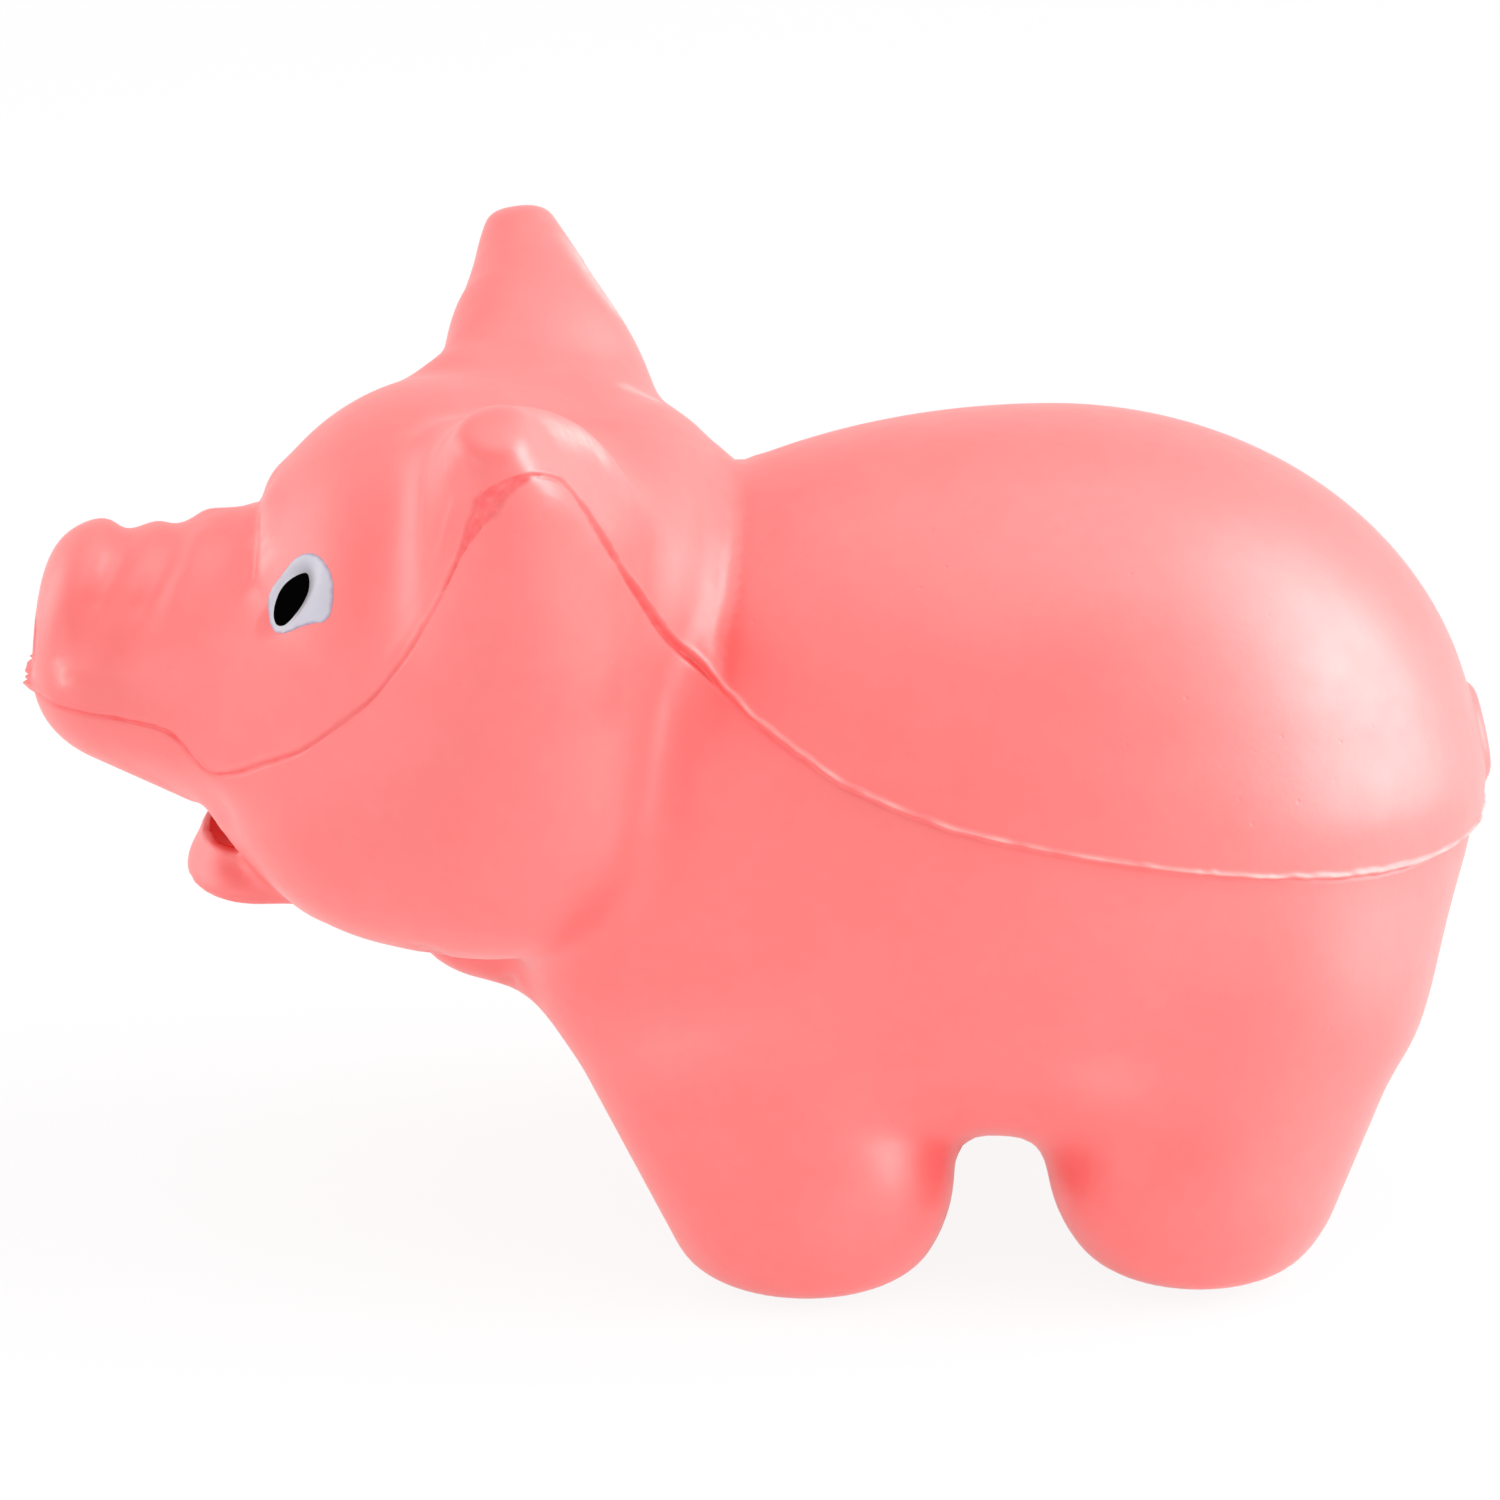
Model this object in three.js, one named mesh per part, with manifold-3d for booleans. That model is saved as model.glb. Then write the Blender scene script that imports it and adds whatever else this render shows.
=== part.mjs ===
// A squeezable toy pig, moulded in one piece of soft foam and painted at the eyes and mouth.
// Sizes are in millimetres. The snout points along -X, up is +Z, and the halves of the pig mirror at Y = 0.
// The moulding is divided at its own creases: each smaller form flows out of a larger one and is cut by it.

import * as THREE from "three";
import { mergeVertices } from "three/addons/utils/BufferGeometryUtils.js";
import Module from "manifold-3d";

const wasm = await Module();
wasm.setup();

// Swelling forms of the body: half-lengths towards the rump, towards the snout, sideways, up and down.
const TORSO = { at: [20, 0, 31.1], rear: 28.9, ahead: 38.8, side: 24.1, up: 25.1, down: 28 };
const SKULL = { at: [-20.6, 0, 40], rear: 16.9, ahead: 15.9, side: 20.4, up: 18.5, down: 13.9 };
const NAPE = { at: [-8.3, 0, 45.2], rear: 7.7, ahead: 7.7, side: 16.3, up: 11.1, down: 11.1 };
const JOWL = { at: [-20.9, 8.7, 32.6], rear: 14.7, ahead: 14.7, side: 12.3, up: 10.6, down: 10.6 };
const LIP = { at: [-34.1, 0, 25.3], rear: 5.4, ahead: 5.4, side: 8, up: 3.1, down: 3.1 };

// Tapering forms: centre and radius of the ball at each end.
const FRONT_LEG = { from: [-3.5, 7, 21.4], thick: 11.9, to: [3.1, 13.3, 7], thin: 10.2 };
const REAR_LEG = { from: [33.7, 10, 18.4], thick: 10.5, to: [29.6, 12.9, 8.1], thin: 10.2 };
const SNOUT = { from: [-31.8, 0, 38.6], thick: 11.5, to: [-46.4, 0, 40.7], thin: 7.8 };
const EAR_FRONT = { from: [-16.5, 9.8, 53], thick: 6.6, to: [-16.9, 25.4, 61.2], thin: 3 };
const EAR_BACK = { from: [-11.5, 9.8, 48.5], thick: 6.4, to: [-14.6, 21.3, 58.6], thin: 3 };
const EAR_ROOT = { from: [-16, 14.3, 41], thick: 9.2, to: [-15, 17.9, 54.5], thin: 5.8 };
const EAR_RIM = { from: [-28.3, 14.8, 42.5], thick: 3.7, to: [-20.3, 20.3, 54.3], thin: 2 };
const CHEEK = { from: [-16.5, 12.4, 34.2], thick: 10.9, to: EAR_ROOT.from, thin: EAR_ROOT.thick };

// The ear stands on the ball that ends the cheek, this far above the ball's centre.
const EAR_FOOT = 6;

// Flats: the soles stand on Z = 0, the belly is flattened between the legs, and the snout ends in a disc.
const BELLY_HEIGHT = 10;
const SNOUT_FACE = -49.5;
const ROUND = { belly: 4.2, snoutFace: 4.9, sole: 1.2 };

// Width over which two forms flow into each other, inside a piece and in the crease between two pieces.
const BLEND = { nape: 5, jowl: 5.9, earLobes: 3.2, earRim: 2, earRoot: 2.8 };
const CREASE = { hip: 6.5, ear: 2.8, snout: 1.2, lip: 2 };

// Two wrinkles press into the bridge of the snout, lean forwards as they run down and fade at the sides.
const WRINKLE = { depth: 0.9, width: 1.5, lean: 0.5, bridge: 48, fadeFrom: 45, fadeTo: 41 };
const FRONT_WRINKLE = -42.8;
const BACK_WRINKLE = -39.7;
const WRINKLES = [
  { place: FRONT_WRINKLE, share: 1 },
  { place: BACK_WRINKLE, share: 0.7 },
];

const NOSTRIL = { apart: 3.3, height: 41.2, half: [1.4, 1.2, 1.8] };
const MOUTH = { at: [-36.4, 0, 27.8], rear: 6, ahead: 8, side: 6.6, up: 2, down: 1.9 };
const MOUTH_PAINT = 0.8;
const MOUTH_PAINT_FRONT = -37.6;

// Eyes are aimed from the middle of the skull: turned out from straight ahead, and raised. Their outline is
// dropped onto the skin from a plane at some depth under it.
const EYE = { turn: 54.6, rise: 26.4, depth: 4 };
const EYE_WHITE = { back: 0, lift: 0, rear: 4.6, ahead: 3.3, up: 2.6, down: 2.9, sunk: 0.9, proud: 0.1 };
const PUPIL = {
  back: -0.65,
  lift: -0.5,
  rear: 1.55,
  ahead: 1.55,
  up: 1.85,
  down: 1.85,
  sunk: 0.25,
  proud: 0.16,
};

// The tail is a low curl on the rump, drawn as a spiral round a centre on the skin and sunk a little into it.
const TAIL = { height: 33, outer: 4.5, inner: 1.2, turns: 1.1, start: -80, thick: 1.2, sunk: 0.6 };

// How finely each form is drawn: steps around it and steps from pole to pole.
const FINE = {
  torso: [36, 24],
  head: [40, 26],
  snout: [28, 18],
  lip: [18, 12],
  ear: [24, 16],
  leg: [22, 16],
  mouth: [14, 8],
  nostril: [10, 6],
  eye: { rings: 2, around: 18 },
  tail: { steps: 24, sides: 6 },
};

// Neighbouring pieces keep a gap, and a smaller piece ends where its crease has thinned out to an edge.
const GAP = 0.3;
const EDGE = 0.3;
const REACH = 300;
const MARCH = 0.7;
const HALVINGS = 22;

// Paint and foam as they look in daylight.
const FOAM = { color: 0xff8f8a, roughness: 0.55, metalness: 0 };
const WHITE_PAINT = { color: 0xe4e4f4, roughness: 0.4, metalness: 0 };
const BLACK_PAINT = { color: 0x060606, roughness: 0.3, metalness: 0 };
const RED_PAINT = { color: 0xa81a0e, roughness: 0.45, metalness: 0 };

// The smaller of two values, rounded off where they meet.
function blend(a, b, width) {
  const meet = Math.max(width - Math.abs(a - b), 0) / width;
  return Math.min(a, b) - (meet * meet * width) / 4;
}

// The larger of two values, rounded off where they meet.
function trim(a, b, width) {
  return -blend(-a, -b, width);
}

// How far a point lies outside an egg, negative inside.
function egg(x, y, z, { at, rear, ahead, side, up, down }) {
  const dx = x - at[0];
  const dy = y - at[1];
  const dz = z - at[2];
  const hx = dx < 0 ? ahead : rear;
  const hz = dz < 0 ? down : up;
  const share = Math.hypot(dx / hx, dy / side, dz / hz) + 1e-9;
  const slope = Math.hypot(dx / hx ** 2, dy / side ** 2, dz / hz ** 2) + 1e-9;
  return (share * (share - 1)) / slope;
}

// How far a point lies outside a rod with ball ends whose radius changes steadily, negative inside.
function taper(x, y, z, { from, thick, to, thin }) {
  const run = [to[0] - from[0], to[1] - from[1], to[2] - from[2]];
  const way = [x - from[0], y - from[1], z - from[2]];
  const square = run[0] ** 2 + run[1] ** 2 + run[2] ** 2;
  const t = Math.min(Math.max((way[0] * run[0] + way[1] * run[1] + way[2] * run[2]) / square, 0), 1);
  const away = Math.hypot(way[0] - t * run[0], way[1] - t * run[1], way[2] - t * run[2]);
  return away - thick - (thin - thick) * t;
}

// Each form below says how far a point lies outside it. The two sides are alike, so y is never negative.
const FORMS = {
  torso(x, y, z) {
    return trim(egg(x, y, z, TORSO), BELLY_HEIGHT - z, ROUND.belly);
  },

  frontLeg(x, y, z) {
    return trim(taper(x, y, z, FRONT_LEG), -z, ROUND.sole);
  },

  rearLeg(x, y, z) {
    return trim(taper(x, y, z, REAR_LEG), -z, ROUND.sole);
  },

  skull(x, y, z) {
    const crown = blend(egg(x, y, z, SKULL), egg(x, y, z, NAPE), BLEND.nape);
    return blend(crown, egg(x, y, z, JOWL), BLEND.jowl);
  },

  head(x, y, z) {
    return blend(FORMS.skull(x, y, z), taper(x, y, z, CHEEK), CREASE.ear);
  },

  ear(x, y, z) {
    const lobes = blend(taper(x, y, z, EAR_FRONT), taper(x, y, z, EAR_BACK), BLEND.earLobes);
    const wall = blend(taper(x, y, z, EAR_ROOT), taper(x, y, z, EAR_RIM), BLEND.earRim);
    return blend(lobes, wall, BLEND.earRoot);
  },

  snout(x, y, z) {
    const fade = (z - WRINKLE.fadeTo) / (WRINKLE.fadeFrom - WRINKLE.fadeTo);
    const across = x + WRINKLE.lean * (WRINKLE.bridge - z);
    let pressed = 0;
    for (const { place, share } of WRINKLES) {
      pressed += share * Math.exp(-(((across - place) / WRINKLE.width) ** 2));
    }
    const wrinkled = taper(x, y, z, SNOUT) + WRINKLE.depth * Math.min(Math.max(fade, 0), 1) * pressed;
    return trim(wrinkled, SNOUT_FACE - x, ROUND.snoutFace);
  },

  lip(x, y, z) {
    return egg(x, y, z, LIP);
  },
};

// Distance from a point inside a form, along a unit direction, to where the direction leaves it.
function reach(form, from, along, grow = 0) {
  const outside = (far) => {
    const [x, y, z] = [from[0] + far * along.x, from[1] + far * along.y, from[2] + far * along.z];
    return form(x, Math.abs(y), z) - grow;
  };
  let out = MARCH;
  while (outside(out) < 0) {
    out += MARCH;
  }
  let inner = out - MARCH;
  for (let i = 0; i < HALVINGS; i++) {
    const half = (inner + out) / 2;
    if (outside(half) < 0) {
      inner = half;
    } else {
      out = half;
    }
  }
  return (inner + out) / 2;
}

// Direction in which the head's skin faces at a point on the left.
function facing({ x, y, z }) {
  const d = 0.05;
  const form = (dx, dy, dz) => FORMS.head(x + dx, Math.abs(y + dy), z + dz);
  return new THREE.Vector3(
    form(d, 0, 0) - form(-d, 0, 0),
    form(0, d, 0) - form(0, -d, 0),
    form(0, 0, d) - form(0, 0, -d),
  ).normalize();
}

function toSolid(geometry) {
  geometry.deleteAttribute("normal");
  geometry.deleteAttribute("uv");
  const merged = mergeVertices(geometry);
  const vertProperties = merged.attributes.position.array;
  const triVerts = new Uint32Array(merged.index.array);
  return new wasm.Manifold(new wasm.Mesh({ numProp: 3, vertProperties, triVerts }));
}

function toGeometry(solid) {
  const { numProp, vertProperties, triVerts } = solid.getMesh();
  const places = new Float32Array((vertProperties.length / numProp) * 3);
  for (let i = 0; i < places.length / 3; i++) {
    places.set(vertProperties.subarray(i * numProp, i * numProp + 3), i * 3);
  }
  const geometry = new THREE.BufferGeometry();
  geometry.setAttribute("position", new THREE.BufferAttribute(places, 3));
  geometry.setIndex(new THREE.BufferAttribute(triVerts, 1));
  geometry.computeVertexNormals();
  return geometry;
}

// The same solid on the other side of the pig.
function otherSide(solid) {
  const geometry = toGeometry(solid);
  geometry.scale(1, -1, 1);
  const corners = geometry.index.array;
  for (let i = 0; i < corners.length; i += 3) {
    [corners[i], corners[i + 1]] = [corners[i + 1], corners[i]];
  }
  return toSolid(geometry);
}

// A ball round a centre inside a form, drawn out along its own radii until it lies on the form.
function wrap(form, centre, [around, across], grow = 0) {
  const ball = new THREE.SphereGeometry(1, around, across);
  ball.deleteAttribute("normal");
  ball.deleteAttribute("uv");
  const shape = mergeVertices(ball);
  const spots = shape.attributes.position;
  const along = new THREE.Vector3();
  for (let i = 0; i < spots.count; i++) {
    along.fromBufferAttribute(spots, i).normalize();
    const far = reach(form, centre, along, grow);
    spots.setXYZ(i, centre[0] + far * along.x, centre[1] + far * along.y, centre[2] + far * along.z);
  }
  return toSolid(shape);
}

// A smaller form with the crease in which it flows out of a larger one, up to where the crease thins out.
function branch(larger, own, crease, centre, fine) {
  const flow = (x, y, z) => {
    const small = own(x, y, z);
    return Math.max(blend(larger(x, y, z), small, crease), small - crease);
  };
  const hem = (Math.sqrt(crease) - Math.sqrt(GAP + EDGE)) ** 2;
  return wrap(flow, centre, fine).intersect(wrap(own, centre, fine, hem));
}

// A closed egg of a form's own half-lengths, all grown by the same amount.
function eggSolid({ at, rear, ahead, side, up, down }, grow, [around, across]) {
  const ball = new THREE.SphereGeometry(1, around, across);
  const spots = ball.attributes.position;
  for (let i = 0; i < spots.count; i++) {
    const [x, y, z] = [spots.getX(i), spots.getY(i), spots.getZ(i)];
    const hx = (x < 0 ? ahead : rear) + grow;
    const hz = (z < 0 ? down : up) + grow;
    spots.setXYZ(i, at[0] + x * hx, at[1] + y * (side + grow), at[2] + z * hz);
  }
  return toSolid(ball);
}

// All the space beyond a point in a direction, as one large block.
function beyond(point, direction) {
  const block = new THREE.BoxGeometry(REACH, REACH, REACH);
  block.translate(0, 0, REACH / 2);
  block.applyQuaternion(new THREE.Quaternion().setFromUnitVectors(new THREE.Vector3(0, 0, 1), direction));
  block.translate(...point);
  return toSolid(block);
}

function onLeft([x, y, z]) {
  return [x, -y, z];
}

function middle(a, b) {
  return a.map((v, i) => (v + b[i]) / 2);
}

// A thin body that follows the skin: its faces lie a little above and below it, inside an egg-shaped outline.
function patch(place, { back, lift, rear, ahead, up, down, sunk, proud }, grow) {
  const { rings, around } = FINE.eye;
  const spots = [];
  const faces = [];
  const levels = [proud + grow, -sunk - grow];
  const spot = (ring, step, level) => {
    const angle = (2 * Math.PI * step) / around;
    const [c, s] = [Math.cos(angle), Math.sin(angle)];
    const a = back + (ring / rings) * c * ((c > 0 ? rear : ahead) + grow);
    const b = lift + (ring / rings) * s * ((s > 0 ? up : down) + grow);
    return place.drop(a, b).addScaledVector(place.out, level);
  };
  levels.forEach((level, face) => {
    const first = spots.length / 3;
    spots.push(...spot(0, 0, level).toArray());
    for (let ring = 1; ring <= rings; ring++) {
      for (let step = 0; step < around; step++) {
        spots.push(...spot(ring, step, level).toArray());
      }
    }
    const at = (ring, step) => (ring === 0 ? first : first + 1 + (ring - 1) * around + (step % around));
    const add = (p, q, r) => faces.push(...(face === 0 ? [p, q, r] : [p, r, q]));
    for (let ring = 0; ring < rings; ring++) {
      for (let step = 0; step < around; step++) {
        add(at(ring, step), at(ring + 1, step), at(ring + 1, step + 1));
        if (ring > 0) {
          add(at(ring, step), at(ring + 1, step + 1), at(ring, step + 1));
        }
      }
    }
  });
  const layer = spots.length / 6;
  const rim = 1 + (rings - 1) * around;
  for (let step = 0; step < around; step++) {
    const [p, q] = [rim + step, rim + ((step + 1) % around)];
    faces.push(p, p + layer, q, q, p + layer, q + layer);
  }
  const geometry = new THREE.BufferGeometry();
  geometry.setAttribute("position", new THREE.Float32BufferAttribute(spots, 3));
  geometry.setIndex(faces);
  return toSolid(geometry);
}

// The place of the left eye: the skin's way out there, and a drop onto the skin from so far back and up.
function eyePlace() {
  const turn = THREE.MathUtils.degToRad(EYE.turn);
  const rise = THREE.MathUtils.degToRad(EYE.rise);
  const sight = new THREE.Vector3(
    -Math.cos(rise) * Math.cos(turn),
    -Math.cos(rise) * Math.sin(turn),
    Math.sin(rise),
  );
  const centre = new THREE.Vector3(...SKULL.at).addScaledVector(sight, reach(FORMS.head, SKULL.at, sight));
  const out = facing(centre);
  const up = new THREE.Vector3(0, 0, 1).addScaledVector(out, -out.z).normalize();
  const back = new THREE.Vector3().crossVectors(up, out);
  const drop = (a, b) => {
    const under = centre.clone().addScaledVector(out, -EYE.depth);
    const start = under.addScaledVector(back, a).addScaledVector(up, b);
    return start.addScaledVector(out, reach(FORMS.head, start.toArray(), out));
  };
  return { out, drop };
}

// The curl of the tail: a spiral seen from behind, laid on the skin of the rump.
class TailCurl extends THREE.Curve {
  getPoint(t, target = new THREE.Vector3()) {
    const angle = THREE.MathUtils.degToRad(TAIL.start + 360 * TAIL.turns * t);
    const radius = TAIL.outer + (TAIL.inner - TAIL.outer) * t;
    const y = radius * Math.cos(angle);
    const z = TAIL.height + radius * Math.sin(angle);
    const backwards = new THREE.Vector3(1, 0, 0);
    const x = TORSO.at[0] + reach(FORMS.torso, [TORSO.at[0], y, z], backwards) - TAIL.sunk;
    return target.set(x, y, z);
  }
}

function tailTube(radius) {
  const { steps, sides } = FINE.tail;
  const section = new THREE.Shape();
  for (let i = 0; i < sides; i++) {
    const angle = (2 * Math.PI * i) / sides;
    const [x, y] = [radius * Math.cos(angle), radius * Math.sin(angle)];
    if (i === 0) {
      section.moveTo(x, y);
    } else {
      section.lineTo(x, y);
    }
  }
  const extrudePath = new TailCurl();
  return toSolid(new THREE.ExtrudeGeometry(section, { steps, extrudePath, bevelEnabled: false }));
}

// Takes away every one of the cutters in turn.
function cutBy(solid, cutters) {
  return cutters.reduce((rest, cutter) => rest.subtract(cutter), solid);
}

function nostrils() {
  const [deep, wide, tall] = NOSTRIL.half;
  return [1, -1].map((side) => {
    const at = [SNOUT_FACE, side * NOSTRIL.apart, NOSTRIL.height];
    return eggSolid({ at, rear: deep, ahead: deep, side: wide, up: tall, down: tall }, 0, FINE.nostril);
  });
}

// The left ear, cut square to its root where it stands on the cheek.
function makeEar() {
  const foot = new THREE.Vector3(...onLeft(EAR_ROOT.from));
  const top = new THREE.Vector3(...onLeft(EAR_ROOT.to));
  const rising = top.clone().sub(foot).normalize();
  const centre = onLeft(middle(EAR_ROOT.to, EAR_BACK.to));
  const solid = branch(FORMS.skull, FORMS.ear, CREASE.ear, centre, FINE.ear);
  return solid.intersect(beyond(foot.addScaledVector(rising, EAR_FOOT).toArray(), rising));
}

// The left leg alone: it ends at the middle of the pig.
function makeLeg(form, sizes) {
  const leftHalf = beyond([0, -GAP / 2, 0], new THREE.Vector3(0, -1, 0));
  const centre = onLeft(middle(sizes.from, sizes.to));
  return branch(FORMS.torso, form, CREASE.hip, centre, FINE.leg).intersect(leftHalf);
}

// The paint inside the mouth is a thin bowl against the wall of the opening, open towards the front.
function makeMouthPaint() {
  const outside = eggSolid(MOUTH, -GAP, FINE.mouth);
  const inside = eggSolid(MOUTH, -GAP - MOUTH_PAINT, FINE.mouth);
  return outside.subtract(inside).intersect(beyond([MOUTH_PAINT_FRONT, 0, 0], new THREE.Vector3(1, 0, 0)));
}

const pig = new THREE.Group();

function add(name, solid, finish) {
  const mesh = new THREE.Mesh(toGeometry(solid), new THREE.MeshStandardMaterial(finish));
  mesh.name = name;
  pig.add(mesh);
}

// The left and the right copy of a piece, each cut by its own larger neighbours.
function addPair(name, solid, finish, cutters = []) {
  add(`left_${name}`, cutBy(solid, cutters), finish);
  add(`right_${name}`, cutBy(otherSide(solid), cutters), finish);
}

const eye = eyePlace();
const socket = patch(eye, EYE_WHITE, GAP);
const mouth = eggSolid(MOUTH, 0, FINE.mouth);
const snoutMiddle = middle(SNOUT.from, SNOUT.to);

const torso = wrap(FORMS.torso, TORSO.at, FINE.torso);
const head = wrap(FORMS.head, SKULL.at, FINE.head);
const snout = branch(FORMS.head, FORMS.snout, CREASE.snout, snoutMiddle, FINE.snout);
const lip = branch(FORMS.head, FORMS.lip, CREASE.lip, LIP.at, FINE.lip);

// The same forms grown by the gap, which cut the smaller ones.
const torsoCutter = wrap(FORMS.torso, TORSO.at, FINE.torso, GAP);
const headCutter = wrap(FORMS.head, SKULL.at, FINE.head, GAP);
const snoutCutter = wrap(FORMS.snout, snoutMiddle, FINE.snout, GAP);

add("torso", torso.subtract(tailTube(TAIL.thick + GAP)), FOAM);
add("head", cutBy(head, [torsoCutter, socket, otherSide(socket), mouth]), FOAM);
add("snout", cutBy(snout, [headCutter, mouth, ...nostrils()]), FOAM);
add("lower_lip", cutBy(lip, [headCutter, snoutCutter, mouth]), FOAM);
add("mouth_paint", makeMouthPaint(), RED_PAINT);
add("tail", tailTube(TAIL.thick), FOAM);
addPair("ear", makeEar(), FOAM, [headCutter, torsoCutter]);
addPair("front_leg", makeLeg(FORMS.frontLeg, FRONT_LEG), FOAM, [torsoCutter, headCutter]);
addPair("rear_leg", makeLeg(FORMS.rearLeg, REAR_LEG), FOAM, [torsoCutter]);
addPair("eye_white", patch(eye, EYE_WHITE, 0).subtract(patch(eye, PUPIL, GAP)), WHITE_PAINT);
addPair("pupil", patch(eye, PUPIL, 0), BLACK_PAINT);

export default pig;
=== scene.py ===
"""Looks of a hand-squeezed toy pig, moulded in one piece of soft foam, with painted eyes and mouth.

The moulding is one skin. Its round forms are modelled as balls, joined and remeshed, and the skin is then
drawn onto the one flowing surface that the forms make. Along the mould's parting line it carries a strip of
finer mesh with the line's relief. Sizes are millimetres until a mesh is finished. The snout points along -X
and the pig's left is -Y.
"""

import logging
import math
from dataclasses import dataclass
from enum import Enum
from typing import Callable

import bmesh
import bpy
import numpy as np
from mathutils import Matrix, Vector, kdtree


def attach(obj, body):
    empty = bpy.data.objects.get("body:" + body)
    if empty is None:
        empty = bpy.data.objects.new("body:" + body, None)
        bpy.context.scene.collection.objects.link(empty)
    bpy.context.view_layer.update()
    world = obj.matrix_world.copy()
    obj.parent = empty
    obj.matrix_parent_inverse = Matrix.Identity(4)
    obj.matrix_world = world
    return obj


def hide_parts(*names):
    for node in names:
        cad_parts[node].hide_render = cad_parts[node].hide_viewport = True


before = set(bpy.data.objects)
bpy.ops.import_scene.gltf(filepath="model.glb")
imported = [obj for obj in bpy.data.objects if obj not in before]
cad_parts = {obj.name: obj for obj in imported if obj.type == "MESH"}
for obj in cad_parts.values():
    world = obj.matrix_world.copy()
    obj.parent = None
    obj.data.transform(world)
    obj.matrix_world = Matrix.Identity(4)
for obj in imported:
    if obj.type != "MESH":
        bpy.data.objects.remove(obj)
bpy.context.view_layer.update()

MM = 0.001
Point = tuple[float, float, float]
Colour = tuple[float, float, float, float]
Marks = tuple[tuple[float, float], ...]
HASH_STEPS = (374761393, 668265263, 1103515245)
HASH_SEED = 69069
HASH_MIX = 1274126177
HASH_BITS = 0xFFFFFFFF
log = logging.getLogger("toy_pig")


class Side(Enum):
    """The pig's own sides, by the sign of Y."""

    LEFT = -1
    RIGHT = 1


def flow(a: np.ndarray, b: np.ndarray, width: float) -> np.ndarray:
    """The smaller of two values, rounded off over a width where they meet."""
    meet = np.maximum(width - np.abs(a - b), 0) / width
    return np.minimum(a, b) - meet * meet * width / 4


def trim(a: np.ndarray, b: np.ndarray, width: float) -> np.ndarray:
    """The larger of two values, rounded off over a width where they meet."""
    return -flow(-a, -b, width)


def ease(values: np.ndarray, start: float, end: float) -> np.ndarray:
    """Rises smoothly from 0 at start to 1 at end."""
    t = np.clip((values - start) / (end - start), 0, 1)
    return t * t * (3 - 2 * t)


def bell(values: np.ndarray, middle: float, half: "float | np.ndarray") -> np.ndarray:
    """1 at the middle, and falling off smoothly on both sides of it."""
    return np.exp(-(((values - middle) / half) ** 2))


def unit(vectors: np.ndarray) -> np.ndarray:
    """Vectors of length 1 in the same directions."""
    return vectors / np.maximum(np.linalg.norm(vectors, axis=-1, keepdims=True), 1e-12)


def lumps(points: np.ndarray, size: float, seed: int) -> np.ndarray:
    """Smooth noise from -1 to 1, the same in each run.

    Args:
        points: Places, one in each row.
        size: Distance from lump to lump.
        seed: Picks one of many patterns.

    Returns:
        One value for each place.
    """
    grid = points / size
    cell = np.floor(grid).astype(np.int64)
    share = grid - cell
    share = share * share * (3 - 2 * share)
    total = np.zeros(len(points))
    for corner in np.ndindex(2, 2, 2):
        spot = cell + np.array(corner)
        code = spot @ np.array(HASH_STEPS) + seed * HASH_SEED
        code = (code ^ (code >> 13)) & HASH_BITS
        code = (code * HASH_MIX) & HASH_BITS
        code = code ^ (code >> 16)
        weight = np.prod(np.where(np.array(corner) == 1, share, 1 - share), axis=1)
        total += weight * (code / 2.0**31 - 1)
    return total


@dataclass(frozen=True)
class Egg:
    """A round form with a half-length of its own towards each end."""

    at: Point
    rear: float
    ahead: float
    side: float
    up: float
    down: float

    def outside(self, p: np.ndarray) -> np.ndarray:
        """How far each point lies outside the form, negative inside."""
        d = p - np.array(self.at)
        hx = np.where(d[:, 0] < 0, self.ahead, self.rear)
        hz = np.where(d[:, 2] < 0, self.down, self.up)
        half = np.stack([hx, np.full(len(p), self.side), hz], axis=1)
        share = np.linalg.norm(d / half, axis=1) + 1e-9
        slope = np.linalg.norm(d / half**2, axis=1) + 1e-9
        return share * (share - 1) / slope


@dataclass(frozen=True)
class Taper:
    """A cone with a ball at each end that it touches without a crease."""

    start: Point
    thick: float
    end: Point
    thin: float

    def outside(self, p: np.ndarray) -> np.ndarray:
        """How far each point lies outside the form, negative inside."""
        first, last = np.array(self.start), np.array(self.end)
        length = float(np.linalg.norm(last - first))
        axial = (p - first) @ (last - first) / length
        radial = np.sqrt(np.maximum(((p - first) ** 2).sum(1) - axial**2, 0))
        lean = (self.thick - self.thin) / length
        steep = math.sqrt(1 - lean**2)
        along = steep * axial - lean * radial
        cone = steep * radial + lean * axial - self.thick
        near = np.hypot(radial, axial) - self.thick
        far = np.hypot(radial, axial - length) - self.thin
        return np.where(along < 0, near, np.where(along > steep * length, far, cone))


@dataclass(frozen=True)
class Wrinkle:
    """A fold pressed across the bridge of the snout."""

    place: float
    depth: float


@dataclass(frozen=True)
class Flows:
    """Widths over which the forms round off into each other, and the heights where a width changes."""

    ear_lobes: float = 3.2
    small_lobe: float = 1.6
    ear_wall: float = 2.4
    ear_root: float = 4.4
    ear_cut: float = 1.1
    ear_foot: float = 3.0
    snout_face: float = 4.9
    belly: float = 3.6
    leg_pair: float = 3.0
    leg_low: float = 2.8
    leg_more: float = 3.7
    leg_heights: tuple[float, float] = (8.0, 17.0)
    nape: float = 5.0
    jowl: float = 5.9
    mouth_corner: float = 2.6
    snout: float = 1.2
    snout_more: float = 6.5
    snout_low: tuple[float, float] = (30.0, 36.0)
    snout_high: tuple[float, float] = (43.5, 48.5)
    lip: float = 1.6
    chin: float = 2.0
    throat: float = 2.0
    neck: float = 3.2
    sole: float = 2.0
    mouth: float = 0.6


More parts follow.
